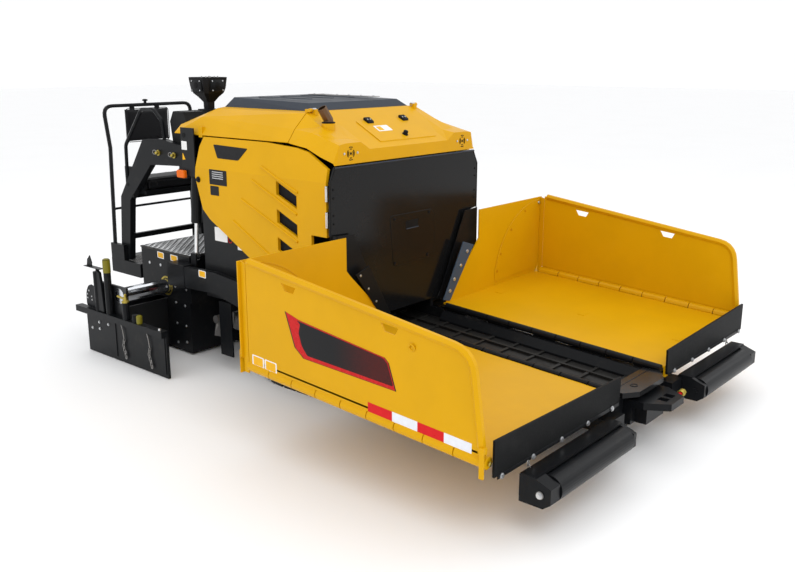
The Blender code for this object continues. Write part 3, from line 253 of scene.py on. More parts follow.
def telescope_finish():
    """Black paint with a chromed guide tube."""
    finish = Finish("extension_paint", INK, 0.36)
    tube_mask = on_guide_tube(finish)
    drift = finish.noise(5.0, 4.0, 0.6)
    metal = finish.blend(drift * 0.2, (0.70, 0.72, 0.75, 1.0), (0.45, 0.47, 0.50, 1.0))
    finish.paint(finish.blend(tube_mask, finish.colour, metal),
                 0.34 - tube_mask * 0.22 + drift * 0.06, tube_mask)
    return finish.bump(finish.noise(420.0, 1.0), 0.00006, 0.3)


EXTENSION = telescope_finish()


def rubber(name, colour, roughness):
    """Rubber or grained plastic, greyed in patches."""
    finish = Finish(name, colour, roughness, Specular_IOR_Level=0.12)
    grain = finish.noise(160.0, 3.0)
    worn = finish.noise(9.0, 4.0).above(0.5, 0.3)
    finish.paint(finish.blend(worn * 0.2, finish.colour, (0.030, 0.029, 0.027, 1.0)),
                 grain * 0.2 + (roughness - 0.1))
    return finish.bump(grain, 0.0004, 0.35)


RUBBER = rubber("rubber_sheet", (0.0045, 0.0048, 0.0052), 0.58)
GRIP = rubber("grip_plastic", (0.0085, 0.0088, 0.0095), 0.50)


def leather(name, colour):
    """Pebbled vinyl with soft creases."""
    finish = Finish(name, colour, 0.5, Sheen_Weight=0.04, Sheen_Roughness=0.4, Specular_IOR_Level=0.15)
    pebble = finish.cells(330.0)
    crease = finish.noise(34.0, 4.0, 0.6)
    finish.paint(finish.blend(crease * 0.3, finish.colour, (0.016, 0.016, 0.018, 1.0)), crease * 0.2 + 0.40)
    return finish.bump(pebble * 0.6 + crease * 0.4, 0.0006, 0.5)


SEAT_VINYL = leather("seat_vinyl", (0.006, 0.006, 0.007))


def enamel(name, colour, roughness=0.35):
    """Printed film, tape or moulded colour."""
    finish = Finish(name, colour, roughness, Specular_IOR_Level=0.15)
    film = finish.noise(30.0, 3.0)
    lighter = tuple(min(1.0, channel * 1.12 + 0.004) for channel in colour) + (1.0,)
    finish.paint(finish.blend(film.above(0.4, 0.3) * 0.5, finish.colour, lighter),
                 film * 0.14 + (roughness - 0.05))
    return finish.bump(finish.noise(300.0), 0.00005, 0.2)


RED_TAPE = enamel("red_reflective_tape", (0.62, 0.008, 0.012), 0.28)
WHITE_TAPE = enamel("white_reflective_tape", (0.76, 0.78, 0.84), 0.28)
LABEL_WHITE = enamel("white_label", (0.78, 0.78, 0.77))
LABEL_YELLOW = enamel("amber_label", (0.80, 0.42, 0.010))
LABEL_BLACK = enamel("black_label", (0.010, 0.010, 0.011), 0.3)
BAND_RED = enamel("band_red", (0.52, 0.010, 0.010), 0.25)
LAMP = enamel("amber_lens", (0.74, 0.135, 0.004), 0.15)


def woven_mesh():
    """Black wire mesh behind the door openings; its holes are a deeper black, painted shade seen through
    them.
    """
    finish = Finish("wire_mesh", (0.006, 0.006, 0.007), 0.45, Specular_IOR_Level=0.1)
    holes = finish.cells(170.0, "F1").above(0.28, 0.2)
    # The wires are really black; the deeper black in the holes is painted shade seen through the mesh.
    finish.paint(finish.blend(holes, (0.002, 0.002, 0.002, 1.0), (0.010, 0.010, 0.011, 1.0)),
                 holes * -0.2 + 0.6)
    return finish.bump(holes, 0.001, 0.8)


MESH = woven_mesh()
FLOOR = Finish("studio_floor", (0.97, 0.97, 0.97), 0.7)
FLOOR.paint(FLOOR.blend(FLOOR.noise(0.7).above(0.4, 0.3), FLOOR.colour, (0.96, 0.96, 0.96, 1.0)))


# ------------------------------------------------------------------ makers
def finished(name, mesh, finish, body, smooth=35.0):
    """A named piece from a mesh, riding on a body."""
    made = bpy.data.objects.new(name, mesh)
    bpy.context.scene.collection.objects.link(made)
    mesh.materials.clear()
    mesh.materials.append(finish.material)
    mesh.shade_smooth()
    mesh.set_sharp_from_angle(angle=math.radians(smooth))
    if body:
        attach(made, body)
    return made


def mesh_of(bm):
    """A mesh from a finished bmesh."""
    mesh = bpy.data.meshes.new("piece")
    bm.normal_update()
    bm.to_mesh(mesh)
    bm.free()
    return mesh


def merged(meshes):
    """One mesh from several."""
    bm = bmesh.new()
    for mesh in meshes:
        bm.from_mesh(mesh)
        bpy.data.meshes.remove(mesh)
    return mesh_of(bm)


def rounded(outline, radius, steps=4):
    """An outline with its corners rounded."""
    result = []
    count = len(outline)
    for i, point in enumerate(outline):
        here = Vector(point)
        to_last, to_next = Vector(outline[i - 1]) - here, Vector(outline[(i + 1) % count]) - here
        reach = min(radius, to_last.length * 0.45, to_next.length * 0.45)
        start, end = here + to_last.normalized() * reach, here + to_next.normalized() * reach
        for step in range(steps + 1):
            t = step / steps
            result.append(tuple(start * (1 - t) ** 2 + here * 2 * t * (1 - t) + end * t ** 2))
    return result


def slab(outline, along, low, high, edge=0.0):
    """A flat plate across one axis; outlines are (back, z), (x, z) or (x, back)."""
    bm = bmesh.new()

    def spot(pair, depth):
        if along == "X":
            return at(depth, pair[0], pair[1])
        if along == "Y":
            return at(pair[0], depth, pair[1])
        return at(pair[0], pair[1], depth)

    face = bm.faces.new([bm.verts.new(spot(pair, low)) for pair in outline])
    grown = bmesh.ops.extrude_face_region(bm, geom=[face])
    shift = spot((0, 0), high) - spot((0, 0), low)
    bmesh.ops.translate(bm, verts=[v for v in grown["geom"] if isinstance(v, bmesh.types.BMVert)], vec=shift)
    bmesh.ops.recalc_face_normals(bm, faces=bm.faces)
    if edge:
        sharp = [e for e in bm.edges if e.calc_face_angle(0.0) > math.radians(50)]
        bmesh.ops.bevel(bm, geom=sharp, offset=edge, segments=1, profile=0.5, affect="EDGES",
                        clamp_overlap=True)
    return mesh_of(bm)


def brick(x, back, z, edge=0.0):
    """A block with softened edges."""
    return slab(box_outline((x[0], back[0]), (x[1], back[1])), "Z", z[0], z[1], edge)


def spoke(radius, turn, lift=0.0):
    """A place at a turn round +Z."""
    return Vector((radius * math.cos(turn), radius * math.sin(turn), lift))


def ring_of(bm, centre, facing, radius, sides):
    """A ring of vertices about a centre."""
    return [bm.verts.new(centre + facing @ spoke(radius, math.tau * i / sides)) for i in range(sides)]


def skin(bm, first, second):
    """Faces between two rings."""
    count = len(first)
    for i in range(count):
        bm.faces.new((first[i], first[(i + 1) % count], second[(i + 1) % count], second[i]))


def turned(start, end, profile, sides=24):
    """A lathed piece from start to end; profile is (share of the length, radius)."""
    start, end = Vector(start), Vector(end)
    facing = (end - start).normalized().to_track_quat("Z", "Y").to_matrix()
    bm = bmesh.new()
    rings = [ring_of(bm, start.lerp(end, share), facing, radius, sides) for share, radius in profile]
    for first, second in zip(rings, rings[1:]):
        skin(bm, first, second)
    bm.faces.new(list(reversed(rings[0])))
    bm.faces.new(rings[-1])
    return mesh_of(bm)


def sleeve(start, end, outer, bore, sides=24):
    """A hollow collar from start to end."""
    start, end = Vector(start), Vector(end)
    facing = (end - start).to_track_quat("Z", "Y").to_matrix()
    bm = bmesh.new()
    rings = [ring_of(bm, centre, facing, radius, sides)
             for centre, radius in ((start, bore), (start, outer), (end, outer), (end, bore))]
    for first, second in zip(rings, rings[1:] + rings[:1]):
        skin(bm, first, second)
    bmesh.ops.recalc_face_normals(bm, faces=bm.faces)
    return mesh_of(bm)


def tube(points, radius, sides=12, closed=False, round_corners=0.0):
    """A round bar along points."""
    path = [Vector(p) for p in points]
    if round_corners:
        path = bent(path, round_corners)
    bm = bmesh.new()
    count = len(path)
    rings = []
    side = None
    for i, point in enumerate(path):
        before = path[i - 1] if i or closed else path[0]
        after = path[(i + 1) % count] if i + 1 < count or closed else path[-1]
        ahead = (after - before).normalized()
        if side is None:
            side = ahead.orthogonal().normalized()
        side = (side - ahead * side.dot(ahead)).normalized()
        facing = Matrix((side, ahead.cross(side), ahead)).transposed()
        rings.append(ring_of(bm, point, facing, radius, sides))
    for first, second in list(zip(rings, rings[1:])) + ([(rings[-1], rings[0])] if closed else []):
        skin(bm, first, second)
    if not closed:
        bm.faces.new(list(reversed(rings[0])))
        bm.faces.new(rings[-1])
    return mesh_of(bm)


def bent(path, radius, steps=5):
    """A path with its corners rounded."""
    result = [path[0]]
    for before, here, after in zip(path, path[1:], path[2:]):
        back, ahead = (before - here), (after - here)
        reach = min(radius, back.length * 0.45, ahead.length * 0.45)
        start, end = here + back.normalized() * reach, here + ahead.normalized() * reach
        for step in range(steps + 1):
            t = step / steps
            result.append(start * (1 - t) ** 2 + here * 2 * t * (1 - t) + end * t ** 2)
    return result + [path[-1]]


def hoop(centre, axis, radius, thick, steps=28, sides=8):
    """A closed ring of round bar."""
    facing = Vector(axis).to_track_quat("Z", "Y").to_matrix()
    ring = [Vector(centre) + facing @ spoke(radius, math.tau * i / steps) for i in range(steps)]
    return tube(ring, thick, sides, closed=True)


def coil_path(start, axis, radius, length, turns, steps=14):
    """Places along a coil spring."""
    facing = Vector(axis).to_track_quat("Z", "Y").to_matrix()
    count = int(turns * steps)
    return [Vector(start) + facing @ spoke(radius, math.tau * i / steps, length * i / count)
            for i in range(count + 1)]


def lofted(rings):
    """A closed shell through rings of places."""
    bm = bmesh.new()
    loops = [[bm.verts.new(place) for place in ring] for ring in rings]
    for first, second in zip(loops, loops[1:]):
        for k in range(len(first)):
            bm.faces.new((first[k - 1], first[k], second[k], second[k - 1]))
    bm.faces.new(loops[0])
    bm.faces.new(loops[-1])
    bmesh.ops.recalc_face_normals(bm, faces=bm.faces)
    return mesh_of(bm)


def bar_on_floor(section, start, end):
    """A bar of one section along the sloping floor; section is (x, rise)."""
    return lofted([[on_floor(x, along, rise) for x, rise in section] for along in (start, end)])


def mirrored(side, outline):
    """An (x, ...) outline on one side of the machine."""
    return [(side * x, other) for x, other in outline]


def box_outline(first, last):
    """A rectangle's corners from first to last, round by the first corner's side."""
    return [(first[0], first[1]), (last[0], first[1]), (last[0], last[1]), (first[0], last[1])]


# ------------------------------------------------------------------ repeated pieces
class Grower:
    """A geometry node tree with named sizes."""

    def __init__(self, name, sizes):
        self.tree = bpy.data.node_groups.new(name, "GeometryNodeTree")
        sockets = self.tree.interface
        sockets.new_socket("Geometry", in_out="INPUT", socket_type="NodeSocketGeometry")
        for size, value in sizes.items():
            sockets.new_socket(size, in_out="INPUT", socket_type="NodeSocketFloat").default_value = value
        sockets.new_socket("Finish", in_out="INPUT", socket_type="NodeSocketMaterial")
        sockets.new_socket("Geometry", in_out="OUTPUT", socket_type="NodeSocketGeometry")
        self.given = self.tree.nodes.new("NodeGroupInput")

    def size(self, name):
        return self.given.outputs[name]

    def add(self, kind, settings=None, sockets=None, out=0):
        made = self.tree.nodes.new(kind)
        for name, value in (settings or {}).items():
            setattr(made, name, value)
        for name, value in (sockets or {}).items():
            if isinstance(value, bpy.types.NodeSocket):
                self.tree.links.new(value, made.inputs[name])
            else:
                made.inputs[name].default_value = value
        return made.outputs[out]

    def circle(self, steps, size):
        return self.add("GeometryNodeCurvePrimitiveCircle", {"mode": "RADIUS"},
                        {"Resolution": steps, "Radius": self.size(size)})

    def at_points(self, piece, turn=None):
        sockets = {"Points": self.given.outputs["Geometry"], "Instance": piece}
        if turn:
            sockets["Rotation"] = turn
        return self.add("GeometryNodeInstanceOnPoints", {}, sockets)

    def end(self, geometry):
        real = self.add("GeometryNodeRealizeInstances", {}, {"Geometry": geometry})
        coated = self.add("GeometryNodeSetMaterial", {}, {"Geometry": real, "Material": self.size("Finish")})
        last = self.tree.nodes.new("NodeGroupOutput")
        self.tree.links.new(coated, last.inputs[0])
        return self.tree


def bolt_tree():
    """A hexagon head on a round washer at every point, square to its facing."""
    grow = Grower("bolts", {"Head": 0.012, "Rise": 0.006})
    head, rise = grow.size("Head"), grow.size("Rise")
    washer_wide = grow.add("ShaderNodeMath", {"operation": "MULTIPLY"}, {0: head, 1: 1.35})
    washer_thick = grow.add("ShaderNodeMath", {"operation": "MULTIPLY"}, {0: rise, 1: 0.5})
    hexagon = grow.add("GeometryNodeMeshCylinder", {}, {"Vertices": 6, "Radius": head, "Depth": rise})
    washer = grow.add("GeometryNodeMeshCylinder", {},
                      {"Vertices": 14, "Radius": washer_wide, "Depth": washer_thick})
    lift = grow.add("ShaderNodeCombineXYZ", {}, {"Z": washer_thick})
    raised = grow.add("GeometryNodeTransform", {}, {"Geometry": hexagon, "Translation": lift})
    bolt = grow.tree.nodes.new("GeometryNodeJoinGeometry")
    grow.tree.links.new(raised, bolt.inputs[0])
    grow.tree.links.new(washer, bolt.inputs[0])
    facing = grow.add("GeometryNodeInputNamedAttribute", {"data_type": "FLOAT_VECTOR"}, {"Name": "facing"})
    turn = grow.add("FunctionNodeAlignRotationToVector", {"axis": "Z"}, {"Vector": facing})
    return grow.end(grow.at_points(bolt.outputs[0], turn))


def lozenge_tree():
    """Raised lozenges in a herringbone over every point of a flat grid."""
    grow = Grower("tread", {"Length": 0.030, "Width": 0.011, "Rise": 0.0025})
    cone = grow.add("GeometryNodeMeshCone", {},
                    {"Vertices": 4, "Radius Top": 0.35, "Radius Bottom": 0.5, "Depth": 1.0})
    size = grow.add("ShaderNodeCombineXYZ", {},
                    {"X": grow.size("Length"), "Y": grow.size("Width"), "Z": grow.size("Rise")})
    lozenge = grow.add("GeometryNodeTransform", {}, {"Geometry": cone, "Scale": size})
    odd = grow.add("GeometryNodeInputNamedAttribute", {"data_type": "FLOAT"}, {"Name": "turn"})
    spin = grow.add("ShaderNodeCombineXYZ", {}, {"Z": odd})
    turn = grow.add("FunctionNodeEulerToRotation", {}, {0: spin})
    return grow.end(grow.at_points(lozenge, turn))


def ring_tree():
    """A raised pressed ring at every point of a flat grid, for foot plates."""
    grow = Grower("pressed_rings", {"Radius": 0.009, "Bar": 0.0022})
    circle, profile = grow.circle(12, "Radius"), grow.circle(5, "Bar")
    ring = grow.add("GeometryNodeCurveToMesh", {}, {"Curve": circle, "Profile Curve": profile})
    return grow.end(grow.at_points(ring))


def link_tree():
    """Chain links along a row of points, each a quarter turn from the last."""
    grow = Grower("links", {"Link": 0.016, "Wire": 0.0028})
    circle, wire = grow.circle(12, "Link"), grow.circle(6, "Wire")
    oval = grow.add("GeometryNodeTransform", {}, {"Geometry": circle, "Scale": (0.62, 1.0, 1.0)})
    link = grow.add("GeometryNodeCurveToMesh", {}, {"Curve": oval, "Profile Curve": wire})
    facing = grow.add("GeometryNodeInputNamedAttribute", {"data_type": "FLOAT_VECTOR"}, {"Name": "facing"})
    along = grow.add("FunctionNodeAlignRotationToVector", {"axis": "Y"}, {"Vector": facing})
    quarter = grow.add("GeometryNodeInputNamedAttribute", {"data_type": "FLOAT"}, {"Name": "turn"})
    spin = grow.add("ShaderNodeCombineXYZ", {}, {"Y": quarter})
    own = grow.add("FunctionNodeEulerToRotation", {}, {0: spin})
    both = grow.add("FunctionNodeRotateRotation", {"rotation_space": "LOCAL"},
                    {"Rotation": along, "Rotate By": own})
    return grow.end(grow.at_points(link, both))


TREES = {"bolts": bolt_tree(), "tread": lozenge_tree(), "rings": ring_tree(), "links": link_tree()}


def repeated(name, tree, points, finish, body, facing=None, turns=None, **sizes):
    """The tree's piece at every point, made plain mesh."""
    mesh = bpy.data.meshes.new(name + "_points")
    mesh.from_pydata([tuple(p) for p in points], [], [])
    mesh.attributes.new("facing", "FLOAT_VECTOR", "POINT")
    mesh.attributes.new("turn", "FLOAT", "POINT")
    mesh.attributes["facing"].data.foreach_set("vector", list(facing or (0, 0, 1)) * len(points))
    mesh.attributes["turn"].data.foreach_set("value", turns or [0.0] * len(points))
    seed = bpy.data.objects.new(name + "_seed", mesh)
    bpy.context.scene.collection.objects.link(seed)
    modifier = seed.modifiers.new("grow", "NODES")
    modifier.node_group = TREES[tree]
    for item in TREES[tree].interface.items_tree:
        if item.in_out == "INPUT" and item.name in sizes:
            modifier[item.identifier] = sizes[item.name]
        if item.in_out == "INPUT" and item.name == "Finish":
            modifier[item.identifier] = finish.material
    bpy.context.view_layer.update()
    grown = bpy.data.meshes.new_from_object(seed.evaluated_get(bpy.context.evaluated_depsgraph_get()))
    bpy.data.objects.remove(seed)
    bpy.data.meshes.remove(mesh)
    for spare in list(grown.attributes):
        if spare.name in ("facing", "turn"):
            grown.attributes.remove(spare)
    return finished(name, grown, finish, body)


def bolts(name, points, facing, body, finish=ZINC, head=0.009, rise=0.006):
    """Hexagon bolts on washers at points, square to facing."""
    way = Vector(facing).normalized()
    lifted = [Vector(p) + way * rise * 0.25 for p in points]
    return repeated(name, "bolts", lifted, finish, body, tuple(way), Head=head, Rise=rise)


def repaint(names, finish):
    """A finish for carried-over nodes."""
    for name in names:
        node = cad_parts[name]
        node.data.materials.clear()
        node.data.materials.append(finish.material)


# ------------------------------------------------------------------ carried-over nodes
def both_sides(*pieces):
    """Names of pieces that come as a left and a right."""
    return [f"{piece}_{tag}" for _, tag in SIDES for piece in pieces]


def paint_frame():
    """Finishes for every carried-over node; what isn't listed is black."""
    paints = {
        YELLOW: ["front_hood", "hood_rear", "hatch_lid"] + both_sides("hopper_side_wall", "side_door"),
        WING_YELLOW: both_sides("hopper_wing"),
        EXTENSION: both_sides("screed_extension"),
        GLOSS: ["front_panel", "front_deck"],
        DARK: both_sides("body_side") + ["body_frame"],
        SLATE: ["roof_cover"],
        CHROME: both_sides("lift_cylinder_rod", "wing_cylinder_rod"),
        EXHAUST: ["exhaust_tail"],
        STEEL: ["auger"],
        TRACK_STEEL: both_sides("track") + ["engine_block", "screed_deck", "conveyor_deck"],
        RUBBER: both_sides("hopper_flap"),
        GRIP: ["dash_console", "control_unit"],
    }
    done = set()
    for finish, names in paints.items():
        repaint(names, finish)
        done.update(names)
    repaint([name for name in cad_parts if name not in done], BLACK)


paint_frame()


def film(name, outline, x, finish, body, lift=0.0006):
    """A thin printed film on a plate that faces sideways."""
    return finished(name, slab(outline, "X", x, x + math.copysign(lift, x)), finish, body)


def framed_label(name, corners, x, body, frame_finish=None, inner=None, border=0.006):
    """A blank label with a pale frame; corners are (back, z), top rear first, then round."""
    middle = sum((Vector(c) for c in corners), Vector((0, 0))) / len(corners)
    first, second, third = (Vector(c) for c in corners[:3])
    size = min((first - second).length, (second - third).length)
    share = 1 - 2 * border / size
    inside = [tuple(middle + (Vector(c) - middle) * share) for c in corners]
    film(name + "_frame", rounded(corners, 0.008), x, frame_finish or LABEL_WHITE, body)
    film(name + "_field", rounded(inside, 0.005), x + math.copysign(0.0006, x), inner or LABEL_YELLOW, body)


# ------------------------------------------------------------------ hopper
WALL_FACE = 1.502            # outside of the side wall sheet
REAR_WALL = 1.628
BAND = [(1.277, 0.878), (1.171, 0.850), (0.900, 0.817), (0.665, 0.788), (0.604, 0.781), (0.579, 0.759),
        (0.535, 0.632), (1.149, 0.654), (1.212, 0.701)]
BAND_FIELD = [(1.198, 0.848), (1.120, 0.838), (0.665, 0.784), (0.607, 0.777), (0.583, 0.757), (0.545, 0.650),
              (1.125, 0.673), (1.164, 0.718), (1.185, 0.783), (1.172, 0.833)]


def band_field_finish():
    """Black that turns to a dotted dark red towards the front."""
    finish = Finish("band_field", (0.010, 0.010, 0.011), 0.24, Specular_IOR_Level=0.15)
    front = 1 - finish.along("Y").above(HOPPER_FRONT + 0.62, 0.34)
    dots = 1 - finish.cells(150.0).above(0.32, 0.1)
    red = finish.blend(dots, (0.072, 0.008, 0.007, 1.0), (0.030, 0.006, 0.006, 1.0))
    return finish.paint(finish.blend(front, finish.colour, red), finish.noise(60.0) * 0.05 + 0.22)


def side_wall_details():
    """Band, tapes, labels, foot strip and eye on the hopper's side walls."""
    field = band_field_finish()
    for side, tag in SIDES:
        body = f"side_wall_{tag}"
        face = side * WALL_FACE
        middle = Vector((0.88, 0.755))
        edge = [tuple(middle + (Vector(p) - middle) * 1.022) for p in BAND]
        film(f"band_edge_{tag}", edge, face, LABEL_BLACK, body, 0.0004)
        film(f"band_red_{tag}", BAND, face + side * 0.0004, BAND_RED, body, 0.0004)
        film(f"band_field_{tag}", rounded(BAND_FIELD, 0.012), face + side * 0.0008, field, body, 0.0004)
        length, tall, fall = 0.155, 0.050, math.tan(HOPPER_SLOPE)
        for i in range(4):
            rear, front = 0.709 - length * i, 0.709 - length * (i + 1)
            top_rear, top_front = 0.532 - fall * length * i, 0.532 - fall * length * (i + 1)
            quad = [(rear, top_rear), (front, top_front), (front, top_front - tall), (rear, top_rear - tall)]
            film(f"tape_{i + 1}_{tag}", quad, face, RED_TAPE if i % 2 == 0 else WHITE_TAPE, body)
        for i, rear in enumerate((1.558, 1.457)):
            top = 0.588 - fall * 0.101 * i
            front, drop = rear - 0.095, fall * 0.095
            corners = [(rear, top), (front, top - drop), (front, top - 0.060 - drop), (rear, top - 0.060)]
            framed_label(f"wall_label_{i + 1}_{tag}", corners, face, body)
        foot = mirrored(side, box_outline((1.4955, 0.0565), (WALL_FACE, 0.0800)))
        finished(f"wall_foot_{tag}", bar_on_floor(foot, 0.040, 1.560), YELLOW, body)
        eye = at(face + side * 0.004, 0.431, 0.868)
        finished(f"wall_eye_{tag}", hoop(eye, (1, 0, 0.25), 0.016, 0.0038), YELLOW, body)


def rear_wall_details():
    """Wear sectors, closing plates, bolts and hinge caps on the wings' rear walls."""
    for side, tag in SIDES:
        body = f"wing_{tag}"
        hub_x, hub_z, reach = 1.478, 0.487, 0.590
        sector = [(hub_x + reach * math.cos(t), hub_z + reach * math.sin(t))
                  for t in (math.radians(92 + 4 * i) for i in range(21))]
        outline = mirrored(side, sector + [(0.905, 0.522), (1.440, 0.545), (1.490, 0.600), (1.490, 1.076)])
        plate = slab(outline, "Y", REAR_WALL - 0.0032, REAR_WALL - 0.0002, 0.0012)
        finished(f"wear_sector_{tag}", plate, YELLOW, body)
        spots = [(1.284, 1.010), (1.099, 0.892), (0.968, 0.725), (0.925, 0.600)]
        on_plate = REAR_WALL - 0.0034
        bolts(f"sector_bolts_{tag}", [at(side * x, on_plate, z) for x, z in spots], (0, -1, 0), body,
              DEEP_YELLOW, 0.008, 0.004)
        bolts(f"corner_bolt_{tag}", [at(side * 1.474, on_plate, 1.052)], (0, -1, 0), body, ZINC, 0.011, 0.008)
        sweep = [at(side * x, on_plate, z) for x, z in sector]
        finished(f"sector_edge_{tag}", tube(sweep, 0.0032, 8), YELLOW, body)
        gusset = mirrored(side, [(1.430, 0.462), (1.519, 0.466), (1.519, 0.600), (1.430, 0.560)])
        finished(f"corner_gusset_{tag}", slab(gusset, "Y", REAR_WALL + 0.0125, REAR_WALL + 0.0165),
                 YELLOW, body)
        closing = [(1.5895, 0.472), (1.6275, 0.472), (1.6275, 1.094), (1.5895, 1.085)]
        finished(f"rear_closing_{tag}", slab(closing, "X", side * 1.4965, side * 1.5020), YELLOW, body)
        start, end = (on_floor(side * WALL_HINGE_X, along, 0.034) for along in (0.0035, -0.0005))
        cap = turned(start, end, [(0.0, 0.012), (0.6, 0.012), (1.0, 0.009)], 18)
        finished(f"hinge_cap_{tag}", cap, BRASS, body)


def flap_details():
    """Clamp bar and bolts along the foot of each front flap."""
    for side, tag in SIDES:
        body = f"wing_{tag}"
        bar = mirrored(side, box_outline((0.306, 0.337), (1.452, 0.357)))
        face = -0.0150
        finished(f"flap_clamp_{tag}", slab(bar, "Y", face - 0.0030, face, 0.0010), BLACK, body)
        spots = [at(side * (0.391 + 0.257 * i), face - 0.0032, 0.3465) for i in range(5)]
        bolts(f"flap_bolts_{tag}", spots, (0, -1, 0), body, ZINC, 0.011, 0.007)


def inner_corner_details():
    """Inner-edge strips, the near one black as painted shade, and the chassis plates between them and the
    engine panel.
    """
    large = (((0.532, 0.818), (0.459, 0.728), (0.387, 0.641), (0.338, 0.566)), 0.010)
    small = (((0.572, 0.842), (0.500, 0.746), (0.428, 0.650)), 0.006)
    # The near (right) strip is plain black and the far (left) strip slate: the black on the near strip is
    # painted shade.
    for (side, tag), finish, (spots, head) in zip(SIDES, (STRIP_SLATE, BLACK), (large, small)):
        body = f"wing_{tag}"
        strip = mirrored(side, [(0.492, 0.893), (0.613, 0.853), (0.344, 0.493), (0.270, 0.512)])
        finished(f"corner_strip_{tag}", slab(strip, "Y", REAR_WALL - 0.009, REAR_WALL - 0.0002, 0.0010),
                 finish, body)
        bolts(f"strip_bolts_{tag}", [at(side * x, REAR_WALL - 0.0092, z) for x, z in spots], (0, -1, 0),
              body, ZINC, head, head * 0.6)
        plate = mirrored(side, [(0.572, 1.097), (0.718, 1.104), (0.718, 0.620), (0.600, 0.560),
                                (0.300, 0.500), (0.283, 0.530)])
        finished(f"inner_plate_{tag}", slab(plate, "Y", 1.672, 1.678), BLACK, "chassis")


# ------------------------------------------------------------------ body and hood
DOOR_FACE = 0.742
DOOR_BEND = 1.420


def door_out(z):
    """Outside of a side door at a height; its top leans in."""
    return DOOR_FACE - 0.200 * max(0.0, z - DOOR_BEND)


def on_door(name, outline, side, finish, body, low=0.0002, lift=0.0010):
    """A plate that lies on a side door; the outline is (back, z)."""
    mesh = slab(outline, "X", side * low, side * (low + lift))
    for vertex in mesh.vertices:
        vertex.co.x += side * door_out(vertex.co.z)
    return finished(name, mesh, finish, body)


def door_details():
    """Vents, ribs, plates, latch, hinges and notices of the side doors."""
    ribs = (((2.324, 1.475), (1.981, 1.341)), ((2.409, 1.383), (1.995, 1.203)),
            ((2.519, 1.246), (1.992, 1.030)), ((2.613, 1.092), (2.246, 0.901)))
    for side, tag in SIDES:
        body = f"side_door_{tag}"
        for i, top in enumerate((1.400, 1.221, 1.042)):
            backing = [(2.184, top + 0.004), (1.985, top - 0.082), (1.985, top - 0.173), (2.184, top - 0.087)]
            finished(f"vent_mesh_{i + 1}_{tag}", slab(backing, "X", side * 0.7165, side * 0.7195), MESH, body)
            frame_line = [(2.177, top), (1.992, top - 0.080), (1.992, top - 0.165), (2.177, top - 0.090)]
            ring = [at(side * 0.7405, back, z) for back, z in frame_line]
            finished(f"vent_lip_{i + 1}_{tag}", tube(ring, 0.0034, 6, closed=True), YELLOW, body)
        for i, ends in enumerate(ribs):
            places = (Vector(ends[0]).lerp(Vector(ends[1]), step / 8) for step in range(9))
            path = [at(side * (door_out(z) + 0.0005), back, z) for back, z in places]
            finished(f"door_rib_{i + 1}_{tag}", tube(path, 0.0085, 10), YELLOW, body)
        plate = [(2.828, 1.582), (2.474, 1.575), (2.554, 1.494), (2.769, 1.495)]
        on_door(f"name_plate_{tag}", rounded(plate, 0.012), side, LABEL_BLACK, body, 0.0004, 0.0014)
        for i, corners in enumerate((((2.846, 1.4185), (2.663, 1.317)), ((2.841, 1.308), (2.751, 1.245)))):
            on_door(f"data_plate_{i + 1}_{tag}", rounded(box_outline(*corners), 0.006), side, LABEL_BLACK,
                    body, 0.0004, 0.0012)
        for i, z in enumerate((1.406, 1.392, 1.378, 1.364)):
            on_door(f"data_line_{i + 1}_{tag}", box_outline((2.815, z), (2.700, z - 0.005)), side, ZINC,
                    body, 0.0018, 0.0005)
        latch = at(side * DOOR_FACE, 2.967, 1.338)
        body_of_latch = turned(latch, latch + Vector((side * 0.016, 0, 0)),
                               [(0, 0.020), (0.35, 0.020), (0.5, 0.013), (0.9, 0.013), (1.0, 0.010)], 20)
        finished(f"door_latch_{tag}", body_of_latch, GRIP, body)
        for i, (low, high) in enumerate(((1.152, 1.247), (1.311, 1.404))):
            for piece, start, end, owner in (("door", low + 0.0128, high - 0.0128, body),
                                             ("post", low, low + 0.0112, "chassis"),
                                             ("head", high - 0.0112, high, "chassis")):
                foot, head = (at(side * 0.748, 1.726, z) for z in (start, end))
                finished(f"hinge_{piece}_{i + 1}_{tag}", sleeve(foot, head, 0.0088, 0.0056, 16), ZINC, owner)
        edge_dots = [at(side * 0.716, PANEL_FACE, z) for z in (1.382, 1.331, 1.226, 1.175)]
        bolts(f"panel_edge_bolts_{tag}", edge_dots, (0, -1, 0), "chassis", GRIP, 0.0055, 0.003)
        for i, corners in enumerate((((2.872, 1.016), (2.738, 0.920)), ((2.632, 0.922), (2.575, 0.886)))):
            film(f"side_notice_{i + 1}_{tag}", rounded(box_outline(*corners), 0.006), side * 0.7002,
                 LABEL_WHITE, "chassis")
        notice = hoop(at(side * 0.7012, 2.708, 0.942), (1, 0, 0), 0.019, 0.0028, 28, 6)
        finished(f"side_ring_{tag}", notice, BAND_RED, "chassis")


